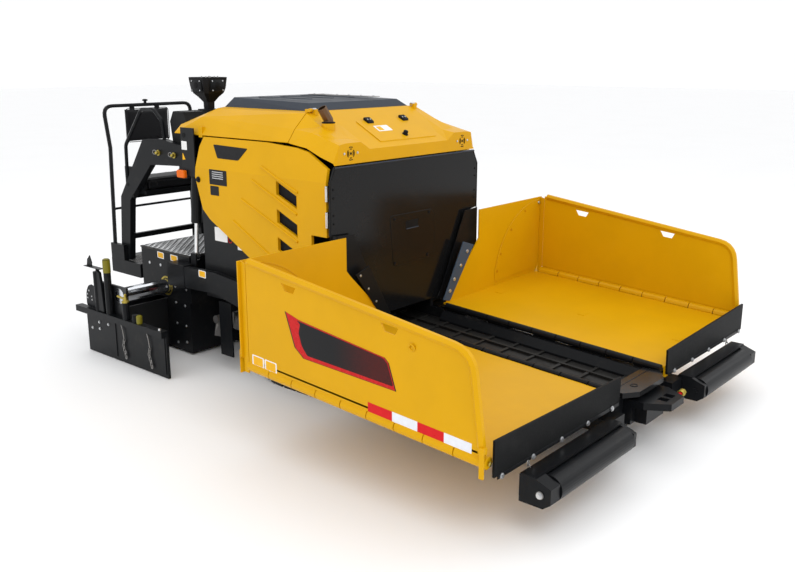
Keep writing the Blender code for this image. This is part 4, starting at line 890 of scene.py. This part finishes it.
def front_panel_details():
    """Service lid, its screws and the pull recess on the panel in front of the engine."""
    face = PANEL_FACE
    lid = rounded([(-0.204, 1.155), (0.227, 1.151), (0.259, 1.109), (0.250, 0.826), (-0.171, 0.818)], 0.030)
    finished("service_lid", slab(lid, "Y", face - 0.0028, face - 0.0003, 0.0010), GLOSS, "chassis")
    rim = [at(x, face - 0.0005, z) for x, z in lid]
    finished("lid_seam", tube(rim, 0.0018, 6, closed=True), BLACK, "chassis")
    spots = [(-0.162, 1.131), (0.194, 1.134), (0.180, 0.842), (-0.158, 0.838)]
    bolts("lid_screws", [at(x, face - 0.0030, z) for x, z in spots], (0, -1, 0), "chassis", GRIP,
          0.0075, 0.004)
    pull = [(-0.047, 1.103), (0.079, 1.105), (0.080, 1.051), (-0.046, 1.049)]
    finished("lid_pull_recess", slab(rounded(pull, 0.008), "Y", face - 0.0036, face - 0.0029), RUBBER,
             "chassis")
    ledge = [at(-0.044, face - 0.0050, 1.050), at(0.078, face - 0.0050, 1.052)]
    finished("lid_pull_ledge", tube(ledge, 0.0035, 8), SLATE, "chassis")
    fold = [at(-0.700, face - 0.001, 1.508), at(0.700, face - 0.001, 1.508)]
    finished("panel_top_fold", tube(fold, 0.0055, 8), SLATE, "chassis")
    for side, tag in SIDES:
        corners = ((0.700, 1.497), (DOOR_FACE, DOOR_BEND), (0.744, 0.640))
        seam = [at(side * x, face - 0.0004, z) for x, z in corners]
        finished(f"panel_side_fold_{tag}", tube(seam, 0.0035, 8), BLACK, "chassis")


def laid(outline, surface, low=0.0003, lift=0.0008):
    """A film laid on a surface whose height follows back; the outline is (x, back)."""
    mesh = slab(outline, "Z", low, low + lift)
    for vertex in mesh.vertices:
        vertex.co.z += surface(vertex.co.y - HOPPER_FRONT)
    return mesh


def on_lid(back):
    """Height of the filler lid's top."""
    return on_hood(back) + 0.006


def hood_details():
    """Horns, hinges, exhaust gasket, and the filler lid's hinges, knob and notice."""
    face = PANEL_FACE
    arcs = ((0.039, 90, 22), (0.039, 270, 22), (0.030, 0, 42), (0.030, 180, 42),
            (0.020, 0, 36), (0.020, 180, 36), (0.027, 90, 16), (0.027, 270, 16))
    for side, tag in SIDES:
        x, z = side * 0.560, 1.585
        marks = []
        for radius, middle, half in arcs:
            turns = [math.radians(middle + half * (step / 3 - 1)) for step in range(7)]
            arc = [at(x + radius * math.cos(turn), face - 0.0002, z + radius * math.sin(turn))
                   for turn in turns]
            marks.append(tube(arc, 0.0028, 8))
        core = turned(at(x, face, z), at(x, face - 0.0030, z), [(0, 0.008), (0.6, 0.008), (1, 0.006)], 16)
        finished(f"horn_slots_{tag}", merged(marks + [core]), RUBBER, "front_hood")
        spots = [at(x + shift, face, z + 0.002) for shift in (-0.058, 0.058)]
        bolts(f"horn_screws_{tag}", spots, (0, -1, 0), "front_hood", ZINC, 0.0055, 0.004)
        start, end = at(side * 0.4695, 2.089, 1.824), at(side * 0.5005, 2.089, 1.824)
        finished(f"hood_hinge_{tag}", sleeve(start, end, 0.0132, 0.0076, 18), ZINC, "front_hood")
    gasket = at(-0.510, 1.935, 1.7550)
    finished("exhaust_gasket", hoop(gasket, (0, 0, 1), 0.0370, 0.0055, 32, 8), RUBBER, "front_hood")
    for i, x in enumerate((-0.150, 0.200)):
        low, high = 1.9285, 1.9755
        section = [(low, on_hood(low) + 0.0075), (low, on_hood(low) + 0.0215),
                   (high - 0.006, on_hood(high) + 0.0215), (high, on_hood(high) + 0.0155),
                   (high, on_hood(high) + 0.0035)]
        finished(f"hatch_hinge_{i + 1}", slab(section, "X", x - 0.002, x + 0.052, 0.0015), GRIP, "hatch_lid")
        spots = [at(x + shift, 1.949, on_hood(1.949) + 0.0212) for shift in (0.012, 0.038)]
        bolts(f"hatch_hinge_screws_{i + 1}", spots, (0, -0.47, 0.88), "hatch_lid", ZINC, 0.005, 0.003)
    knob = turned(at(0.058, 1.7955, on_hood(1.795) + 0.0055), at(0.058, 1.7840, on_hood(1.795) + 0.0320),
                  [(0, 0.021), (0.15, 0.021), (0.22, 0.0155), (0.75, 0.0160), (0.92, 0.013), (1, 0.006)], 24)
    finished("hatch_knob", knob, GRIP, "hatch_lid")
    notice = [(-0.138, 1.845), (-0.138, 1.903), (-0.005, 1.903), (-0.005, 1.845)]
    finished("hatch_notice", laid(rounded(notice, 0.006), on_lid), LABEL_WHITE, "hatch_lid")
    field = [(-0.124, 1.853), (-0.124, 1.893), (-0.078, 1.893), (-0.078, 1.853)]
    finished("hatch_notice_field", laid(field, on_lid, 0.0012, 0.0004), LABEL_YELLOW, "hatch_lid")


def roof_details():
    """Ribs, a bolted seam strip and screws on the slate roof cover."""
    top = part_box("roof_cover")[1][2]
    for i, x in enumerate((-0.30, -0.10, 0.10)):
        rib = brick((x - 0.011, x + 0.011), (2.300, 2.820), (top - 0.0005, top + 0.004), 0.002)
        finished(f"roof_rib_{i + 1}", rib, SLATE, "chassis")
    strip = brick((0.245, 0.300), (2.230, 2.900), (top - 0.0005, top + 0.0035), 0.0012)
    finished("roof_strip", strip, STEEL, "chassis")
    spots = [at(0.2725, 2.270 + 0.118 * i, top + 0.0035) for i in range(6)]
    bolts("roof_strip_bolts", spots, (0, 0, 1), "chassis", ZINC, 0.008, 0.004)


# ------------------------------------------------------------------ front of the machine
def front_details():
    """Deck ring and fold, and the push rollers' spring, washers and chains."""
    deck_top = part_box("front_deck")[1][2]
    ring = hoop(at(-0.080, 0.010, deck_top + 0.0008), (0, 0, 1), 0.020, 0.0022)
    finished("deck_ring", ring, BLACK, "chassis")
    seam = [at(-0.235, 0.062, deck_top + 0.0004), at(0.235, 0.062, deck_top + 0.0004)]
    finished("deck_fold", tube(seam, 0.0022, 6), BLACK, "chassis")
    spring_at = at(0.2995, -0.118, 0.262)
    finished("roller_spring", tube(coil_path(spring_at, (-1, 0, 0), 0.0175, 0.044, 4), 0.0042, 8), BRASS,
             "chassis")
    core = turned(spring_at, spring_at + Vector((-0.052, 0, 0)), [(0, 0.011), (0.9, 0.011), (1, 0.007)], 16)
    finished("spring_stop", core, BAND_RED, "chassis")
    for side, tag in SIDES:
        outer = at(side * 1.2802, -0.135, 0.235)
        washer_face = outer + Vector((side * 0.006, 0, 0))
        washer = turned(outer, washer_face, [(0, 0.019), (0.7, 0.019), (1, 0.016)], 20)
        finished(f"roller_washer_{tag}", washer, STEEL, "chassis")
        bolts(f"roller_bolt_{tag}", [washer_face], (side, 0, 0), "chassis", ZINC, 0.012, 0.009)
        links = [at(side * 1.205, -0.020 - 0.004 * i, 0.330 - 0.018 * i) for i in range(5)]
        repeated(f"roller_chain_{tag}", "links", links, STEEL, f"wing_{tag}", (0, -0.2, -1.0),
                 [QUARTER * (i % 2) for i in range(5)], Link=0.013, Wire=0.0026)


# ------------------------------------------------------------------ screed and end gates
def screed_details():
    """Tread, labels, bolts, levers and tube collars of the screed."""
    deck_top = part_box("screed_deck")[1][2]
    points, turns = [], []
    for row in range(21):
        for column in range(44):
            points.append(at(-0.668 + column * 0.031, 3.216 + row * 0.029, deck_top + 0.0010))
            turns.append(QUARTER / 2 if (row + column) % 2 else -QUARTER / 2)
    repeated("deck_tread", "tread", points, ZINC, "screed", None, turns,
             Length=0.027, Width=0.0095, Rise=0.0030)
    for side, tag in SIDES:
        face = side * SCREED_SIDE
        for i, (rear, front) in enumerate(((3.593, 3.512), (3.430, 3.341))):
            corners = [(rear, 0.741), (front, 0.738), (front, 0.690), (rear, 0.693)]
            framed_label(f"deck_label_{i + 1}_{tag}", corners, face + side * 0.0002, "screed", border=0.005)
        corners = [(2.967, 0.712), (2.886, 0.710), (2.888, 0.660), (2.968, 0.662)]
        framed_label(f"arm_label_{tag}", corners, side * 0.7853, "screed", border=0.005)
        spots = [at(face + side * 0.0005, back, z) for back, z in
                 ((3.392, 0.503), (3.259, 0.497), (3.560, 0.640), (3.700, 0.640))]
        bolts(f"side_plate_bolts_{tag}", spots, (side, 0, 0), "screed", ZINC, 0.008, 0.0026)
        spots = [at(side * 0.6902, back, z) for back, z in
                 ((3.392, 0.379), (3.282, 0.371), (3.392, 0.219), (3.282, 0.216), (3.392, 0.070),
                  (3.282, 0.091))]
        bolts(f"screed_end_bolts_{tag}", spots, (side, 0, 0), "screed", ZINC, 0.008, 0.006)
        bend = [at(side * x, back, z) for x, back, z in
                ((0.6895, 3.245, 0.527), (0.712, 3.245, 0.527), (0.714, 3.205, 0.531))]
        lever = tube(bend, 0.0055, 10, round_corners=0.010)
        finished(f"heater_lever_{tag}", lever, BAND_RED, "screed")
        near, far = (at(side * x, TUBE_BACK, TUBE_Z) for x in (0.6891, 0.6898))
        collar = sleeve(near, far, 0.074, 0.0605, 40)
        finished(f"tube_collar_{tag}", collar, BRASS, "screed")


def upright(x, back, low, high, profile, sides):
    """A lathed piece that stands up."""
    return turned(at(x, back, low), at(x, back, high), profile, sides)


def end_gate_details():
    """Posts, cranks, index plates, chains and ribs of the end gates."""
    for side, tag in SIDES:
        body = f"extension_{tag}"
        post = side * 1.121
        top = upright(post, 3.590, 0.655, 0.757,
                      [(0, 0.0275), (0.85, 0.0275), (0.95, 0.0240), (1, 0.0150)], 28)
        finished(f"post_sleeve_{tag}", top, OLIVE, body)
        hub = upright(post, 3.380, 0.4705, 0.5060, [(0, 0.027), (0.3, 0.027), (0.45, 0.017), (1, 0.015)], 24)
        arm = tube([at(post, 3.380, 0.492), at(post, 3.475, 0.500)], 0.0085, 12)
        pin = upright(post, 3.380, 0.504, 0.532, [(0, 0.012), (0.8, 0.010), (1, 0.004)], 16)
        finished(f"height_crank_{tag}", merged([hub, arm, pin]), BRASS, body)
        stop = upright(post, 3.222, 0.3455, 0.405, [(0, 0.021), (0.9, 0.021), (1, 0.014)], 20)
        finished(f"front_stop_{tag}", stop, OLIVE, body)
        knob = upright(post, 2.985, 0.3300, 0.358, [(0, 0.020), (0.35, 0.020), (0.5, 0.012), (1, 0.008)], 18)
        finished(f"gate_front_knob_{tag}", knob, ZINC, body)
        blade = [(3.758, 0.346), (3.652, 0.346), (3.668, 0.560), (3.682, 0.640), (3.724, 0.662),
                 (3.736, 0.600)]
        finished(f"pointer_post_{tag}", slab(blade, "X", side * 1.111, side * 1.133, 0.003), BLACK, body)
        shelf = slab(mirrored(side, box_outline((1.096, 3.665), (1.140, 3.872))), "Z", 0.6645, 0.6695, 0.0015)
        point = [(3.862, 0.668), (3.792, 0.668), (3.788, 0.700), (3.812, 0.752), (3.850, 0.716)]
        needle = slab(point, "X", side * 1.114, side * 1.119, 0.0015)
        finished(f"pointer_{tag}", merged([shelf, needle]), BLACK, body)
        disc = rounded([(3.780, 0.346), (3.930, 0.346), (3.925, 0.455), (3.890, 0.508), (3.842, 0.525),
                        (3.795, 0.500)], 0.03)
        finished(f"index_plate_{tag}", slab(disc, "X", side * 1.0995, side * 1.1065, 0.0015), BLACK, body)
        spots = [at(side * 1.1070, back, z) for back, z in
                 ((3.905, 0.440), (3.905, 0.412), (3.880, 0.470), (3.848, 0.430), (3.846, 0.405))]
        bolts(f"index_holes_{tag}", spots, (side, 0, 0), body, ZINC, 0.0048, 0.003)
        face = side * 1.1120
        ribs = [brick((face, face + side * 0.006), back, (0.030, 0.298), 0.002)
                for back in ((3.545, 3.562), (2.945, 2.965))]
        finished(f"gate_ribs_{tag}", merged(ribs), BLACK, body)
        hang = face + side * 0.012
        for i, back in enumerate((3.440, 3.125)):
            hook = tube([at(face + side * 0.004, back + 0.030, 0.296), at(hang, back, 0.255),
                         at(hang, back - 0.010, 0.190)], 0.0040, 8, round_corners=0.03)
            finished(f"clip_wire_{i + 1}_{tag}", hook, STEEL, body)
            links = [at(hang, back - 0.010 + 0.012 * math.sin(k * 0.7), 0.180 - 0.018 * k) for k in range(8)]
            repeated(f"gate_chain_{i + 1}_{tag}", "links", links, STEEL, body, (0, 0.1, -1.0),
                     [QUARTER * (k % 2) for k in range(8)], Link=0.013, Wire=0.0030)
        spots = [at(face + side * 0.0005, back, z) for back, z in
                 ((3.640, 0.255), (3.760, 0.250), (3.860, 0.190), (3.760, 0.200))]
        bolts(f"gate_bolts_{tag}", spots, (side, 0, 0), body, ZINC, 0.008, 0.006)


# ------------------------------------------------------------------ operator's station
def swollen(name, node, finish, body, rise, voxel=0.006):
    """A padded piece grown from its solid by cloth simulation, capped at rise."""
    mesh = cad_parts[node].data.copy()
    bm = bmesh.new()
    bm.from_mesh(mesh)
    bmesh.ops.remove_doubles(bm, verts=bm.verts, dist=0.0001)
    low, high = (Vector(corner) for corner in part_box(node))
    middle = (low + high) / 2
    size = high - low
    inset = 2 * rise * 0.7       # the pad starts smaller and swells back
    for vertex in bm.verts:
        for axis in range(3):
            vertex.co[axis] = middle[axis] + (vertex.co[axis] - middle[axis]) * (1 - inset / size[axis])
    bm.to_mesh(mesh)
    bm.free()
    made = finished(name, mesh, finish, None)
    remesh = made.modifiers.new("even", "REMESH")
    remesh.mode = "VOXEL"
    remesh.voxel_size = voxel
    bake_in(made)
    before = [vertex.co.copy() for vertex in made.data.vertices]
    cloth = made.modifiers.new("cloth", "CLOTH")
    cloth.settings.use_pressure = True
    cloth.settings.uniform_pressure_force = 4.0
    cloth.settings.effector_weights.gravity = 0.0
    cloth.settings.quality = 5
    for number in range(1, 21):
        bpy.context.scene.frame_set(number)
    bake_in(made)
    for vertex, old in zip(made.data.vertices, before):
        shift = vertex.co - old
        if shift.length > rise:
            vertex.co = old + shift.normalized() * rise
    bpy.context.scene.frame_set(1)
    soft = made.modifiers.new("smooth", "SUBSURF")
    soft.levels = 1
    soft.render_levels = 1
    bake_in(made)
    made.data.shade_smooth()
    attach(made, body)
    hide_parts(node)
    return made


def bake_in(made):
    """Replace a piece's mesh by what its modifiers make of it."""
    bpy.context.view_layer.update()
    finish = made.data.materials[0]
    grown = bpy.data.meshes.new_from_object(made.evaluated_get(bpy.context.evaluated_depsgraph_get()))
    made.modifiers.clear()
    made.data = grown
    if not grown.materials:
        grown.materials.append(finish)


def welt(name, outline, place, thick, radius):
    """A piped seam round a pad; place puts a point of the outline on the pad."""
    seam = rounded(outline, radius, 6)
    finished(name, tube([place(*spot) for spot in seam], thick, 8, closed=True), SEAT_VINYL, "chassis")


def seat_details():
    """The two pads with their piped seams."""
    swollen("seat_cushion_pad", "seat_cushion", SEAT_VINYL, "chassis", 0.010)
    swollen("backrest_pad", "seat_backrest", SEAT_VINYL, "chassis", 0.007)
    inset = 0.004
    low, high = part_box("seat_cushion")
    welt("cushion_welt", box_outline((low[0] + inset, low[1] + inset), (high[0] - inset, high[1] - inset)),
         lambda x, y: Vector((x, y, high[2] - 0.026)), 0.0032, 0.035)
    low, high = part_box("seat_backrest")
    welt("backrest_welt", box_outline((low[0] + inset, low[2] + inset), (high[0] - inset, high[2] - inset)),
         lambda x, z: Vector((x, low[1] + 0.010, z)), 0.0030, 0.030)


def station_details():
    """Lock pins, lamps, notices, knob, slots and foot plate of the operator's station."""
    body = "chassis"
    arm_face = -0.6455
    for i, (back, z) in enumerate(((3.554, 1.473), (3.364, 1.467), (3.188, 1.406))):
        start = at(arm_face, back, z)
        plunger = turned(start, start + Vector((-0.030, 0, 0)),
                         [(0, 0.021), (0.25, 0.021), (0.3, 0.013), (0.8, 0.013), (1, 0.009)], 20)
        finished(f"lock_pin_{i + 1}", plunger, BRASS, body)
        pull = hoop(start + Vector((-0.030, 0.010, 0.006)), (1, 0.3, 0), 0.015, 0.0024)
        finished(f"lock_pin_ring_{i + 1}", pull, STEEL, body)
    for side, tag in SIDES:
        plate = side * 0.7273
        lamp = rounded(box_outline((3.198, 1.388), (3.110, 1.334)), 0.012)
        finished(f"side_lamp_{tag}", slab(lamp, "X", plate, plate + side * 0.030, 0.006), LAMP, body)
        base = rounded(box_outline((3.204, 1.394), (3.104, 1.328)), 0.012)
        finished(f"lamp_base_{tag}", slab(base, "X", plate, plate + side * 0.006, 0.001), GRIP, body)
        notice = [(3.158, 1.588), (3.098, 1.586), (3.098, 1.528), (3.158, 1.528)]
        film(f"bracket_notice_{tag}", rounded(notice, 0.005), plate + side * 0.0002, LABEL_WHITE, body)
        mark = [(3.150, 1.508), (3.122, 1.462), (3.154, 1.458)]
        film(f"bracket_mark_{tag}", mark, plate + side * 0.0002, LABEL_YELLOW, body)
        hole = turned(at(plate, 3.128, 1.628), at(plate + side * 0.0016, 3.128, 1.628),
                      [(0, 0.017), (1, 0.017)], 24)
        finished(f"bracket_bush_{tag}", hole, RUBBER, body)
    knob = upright(-0.300, 4.200, 1.7985, 1.828,
                   [(0, 0.012), (0.4, 0.010), (0.5, 0.021), (0.85, 0.021), (1, 0.012)], 20)
    finished("rail_knob", knob, GRIP, body)
    top = 0.600
    points = [at(-0.640 + 0.034 * i, 3.872 + 0.034 * j, top + 0.0008) for i in range(22) for j in range(9)
              if not (i < 3 and j > 5)]
    repeated("platform_rings", "rings", points, STEEL, body, Radius=0.0095, Bar=0.0018)
    for i, (back, z) in enumerate(((3.985, 1.200), (3.925, 1.120))):
        mark = turned(at(arm_face, back, z), at(arm_face - 0.0015, back, z), [(0, 0.013), (1, 0.013)], 18)
        finished(f"arm_slot_{i + 1}", mark, RUBBER, body)


def chamfered(half, cut):
    """A square with cut corners, as (x, back) offsets."""
    flat = half - cut
    return [(half, -flat), (half, flat), (flat, half), (-flat, half), (-half, flat), (-half, -flat),
            (-flat, -half), (flat, -half)]


def console_details():
    """Boxed control unit on its stand, and the trim round the console lid."""
    body = "chassis"
    x, back = -0.310, 3.370
    levels = ((1.7706, 0.062, 0.008), (1.7800, 0.062, 0.008), (1.7810, 0.030, 0.006), (1.8300, 0.032, 0.008),
              (1.8650, 0.058, 0.014), (1.8950, 0.088, 0.022), (1.9300, 0.100, 0.024), (1.9900, 0.108, 0.026),
              (2.0080, 0.110, 0.028), (2.0085, 0.098, 0.024), (1.9850, 0.094, 0.022))
    shell = lofted([[at(x + dx, back + dy, z) for dx, dy in chamfered(half, cut)] for z, half, cut in levels])
    unit = finished("control_head", shell, GRIP, body, 25)
    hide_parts("control_unit")
    for name, way in (("front", (0, -1)), ("side", (-1, 0))):
        reach = 0.1035
        across = (1, 0) if way[0] == 0 else (0, 1)
        rings = []
        for lift, half, z_low, z_high in ((0.000, 0.062, 1.906, 1.992), (0.005, 0.062, 1.906, 1.992),
                                          (0.008, 0.056, 1.912, 1.986)):
            out_x, out_back = (x + way[0] * (reach + lift), back + way[1] * (reach + lift))
            rings.append([at(out_x + across[0] * a, out_back + across[1] * a, z)
                          for a, z in box_outline((-half, z_low), (half, z_high))])
        finished(f"control_{name}_cover", lofted(rings), BLACK, body)
        hub = at(x + way[0] * (reach + 0.006), back + way[1] * (reach + 0.006), 1.952)
        out = Vector((way[0], way[1], 0))
        dial = turned(hub, hub + out * 0.004, [(0, 0.024), (0.6, 0.024), (1, 0.020)], 12)
        finished(f"control_{name}_dial", dial, RUBBER, body)
        screws = [hub + out * 0.0015 + Vector((across[0], across[1], 0)) * a + Vector((0, 0, b))
                  for a in (-0.046, 0.046) for b in (-0.036, 0.030)]
        bolts(f"control_{name}_screws", screws, tuple(out), body, ZINC, 0.004, 0.003)
    spots = ((-0.055, -0.050), (-0.020, -0.055), (0.020, -0.050), (0.055, -0.045), (-0.040, 0.020),
             (0.030, 0.025))
    switches = [upright(x + dx, back + dy, 1.985, 2.016, [(0, 0.006), (0.7, 0.006), (1, 0.004)], 10)
                for dx, dy in spots]
    finished("control_switches", merged(switches), STEEL, body)
    low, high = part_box("dash_console")
    inset = 0.012
    rim = rounded(box_outline((low[0] + inset, high[1] - 0.190), (high[0] - inset, high[1] - inset)), 0.03, 5)
    seam = [Vector((px, py, high[2] - 0.0005)) for px, py in rim]
    finished("console_seam", tube(seam, 0.0022, 6, closed=True), RUBBER, body)


side_wall_details()
rear_wall_details()
flap_details()
inner_corner_details()
door_details()
front_panel_details()
hood_details()
roof_details()
front_details()
screed_details()
end_gate_details()
seat_details()
station_details()
console_details()


# ------------------------------------------------------------------ studio
def studio():
    """Pale floor, soft lights and the camera."""
    bm = bmesh.new()
    bmesh.ops.create_grid(bm, x_segments=1, y_segments=1, size=60.0)
    floor = finished("studio_floor", mesh_of(bm), FLOOR, None)
    floor.location.z = -0.001
    world = bpy.data.worlds.new("studio")
    bpy.context.scene.world = world
    world.use_nodes = True
    sky = world.node_tree.nodes["Background"]
    sky.inputs["Color"].default_value = (0.985, 0.990, 1.0, 1.0)
    sky.inputs["Strength"].default_value = 1.02
    for name, place, aim, size, power in (
            ("key", (-4.0, -6.0, 7.5), (0, 0, 0.8), 5.0, 150),
            ("fill", (-8.5, 3.5, 5.0), (0, 0.5, 0.8), 5.0, 60),
            ("far", (6.5, -5.5, 5.5), (0, -0.5, 0.6), 5.0, 80),
            ("top", (0.5, 1.0, 8.0), (0, 0.2, 0), 6.0, 60)):
        lamp = bpy.data.lights.new(name, "AREA")
        lamp.size = size
        lamp.energy = power
        light = bpy.data.objects.new(name, lamp)
        light.location = place
        light.rotation_euler = (Vector(aim) - Vector(place)).to_track_quat("-Z", "Y").to_euler()
        bpy.context.scene.collection.objects.link(light)
    lens = bpy.data.cameras.new("camera")
    lens.sensor_width = 36.0
    lens.lens = 40.26
    camera = bpy.data.objects.new("camera", lens)
    camera.location = at(-4.4606, -2.0221, 2.14)
    camera.rotation_euler = Vector((0.7347, 0.6313, -0.248)).to_track_quat("-Z", "Y").to_euler()
    bpy.context.scene.collection.objects.link(camera)
    bpy.context.scene.camera = camera
    bpy.context.scene.view_settings.view_transform = "Standard"


studio()
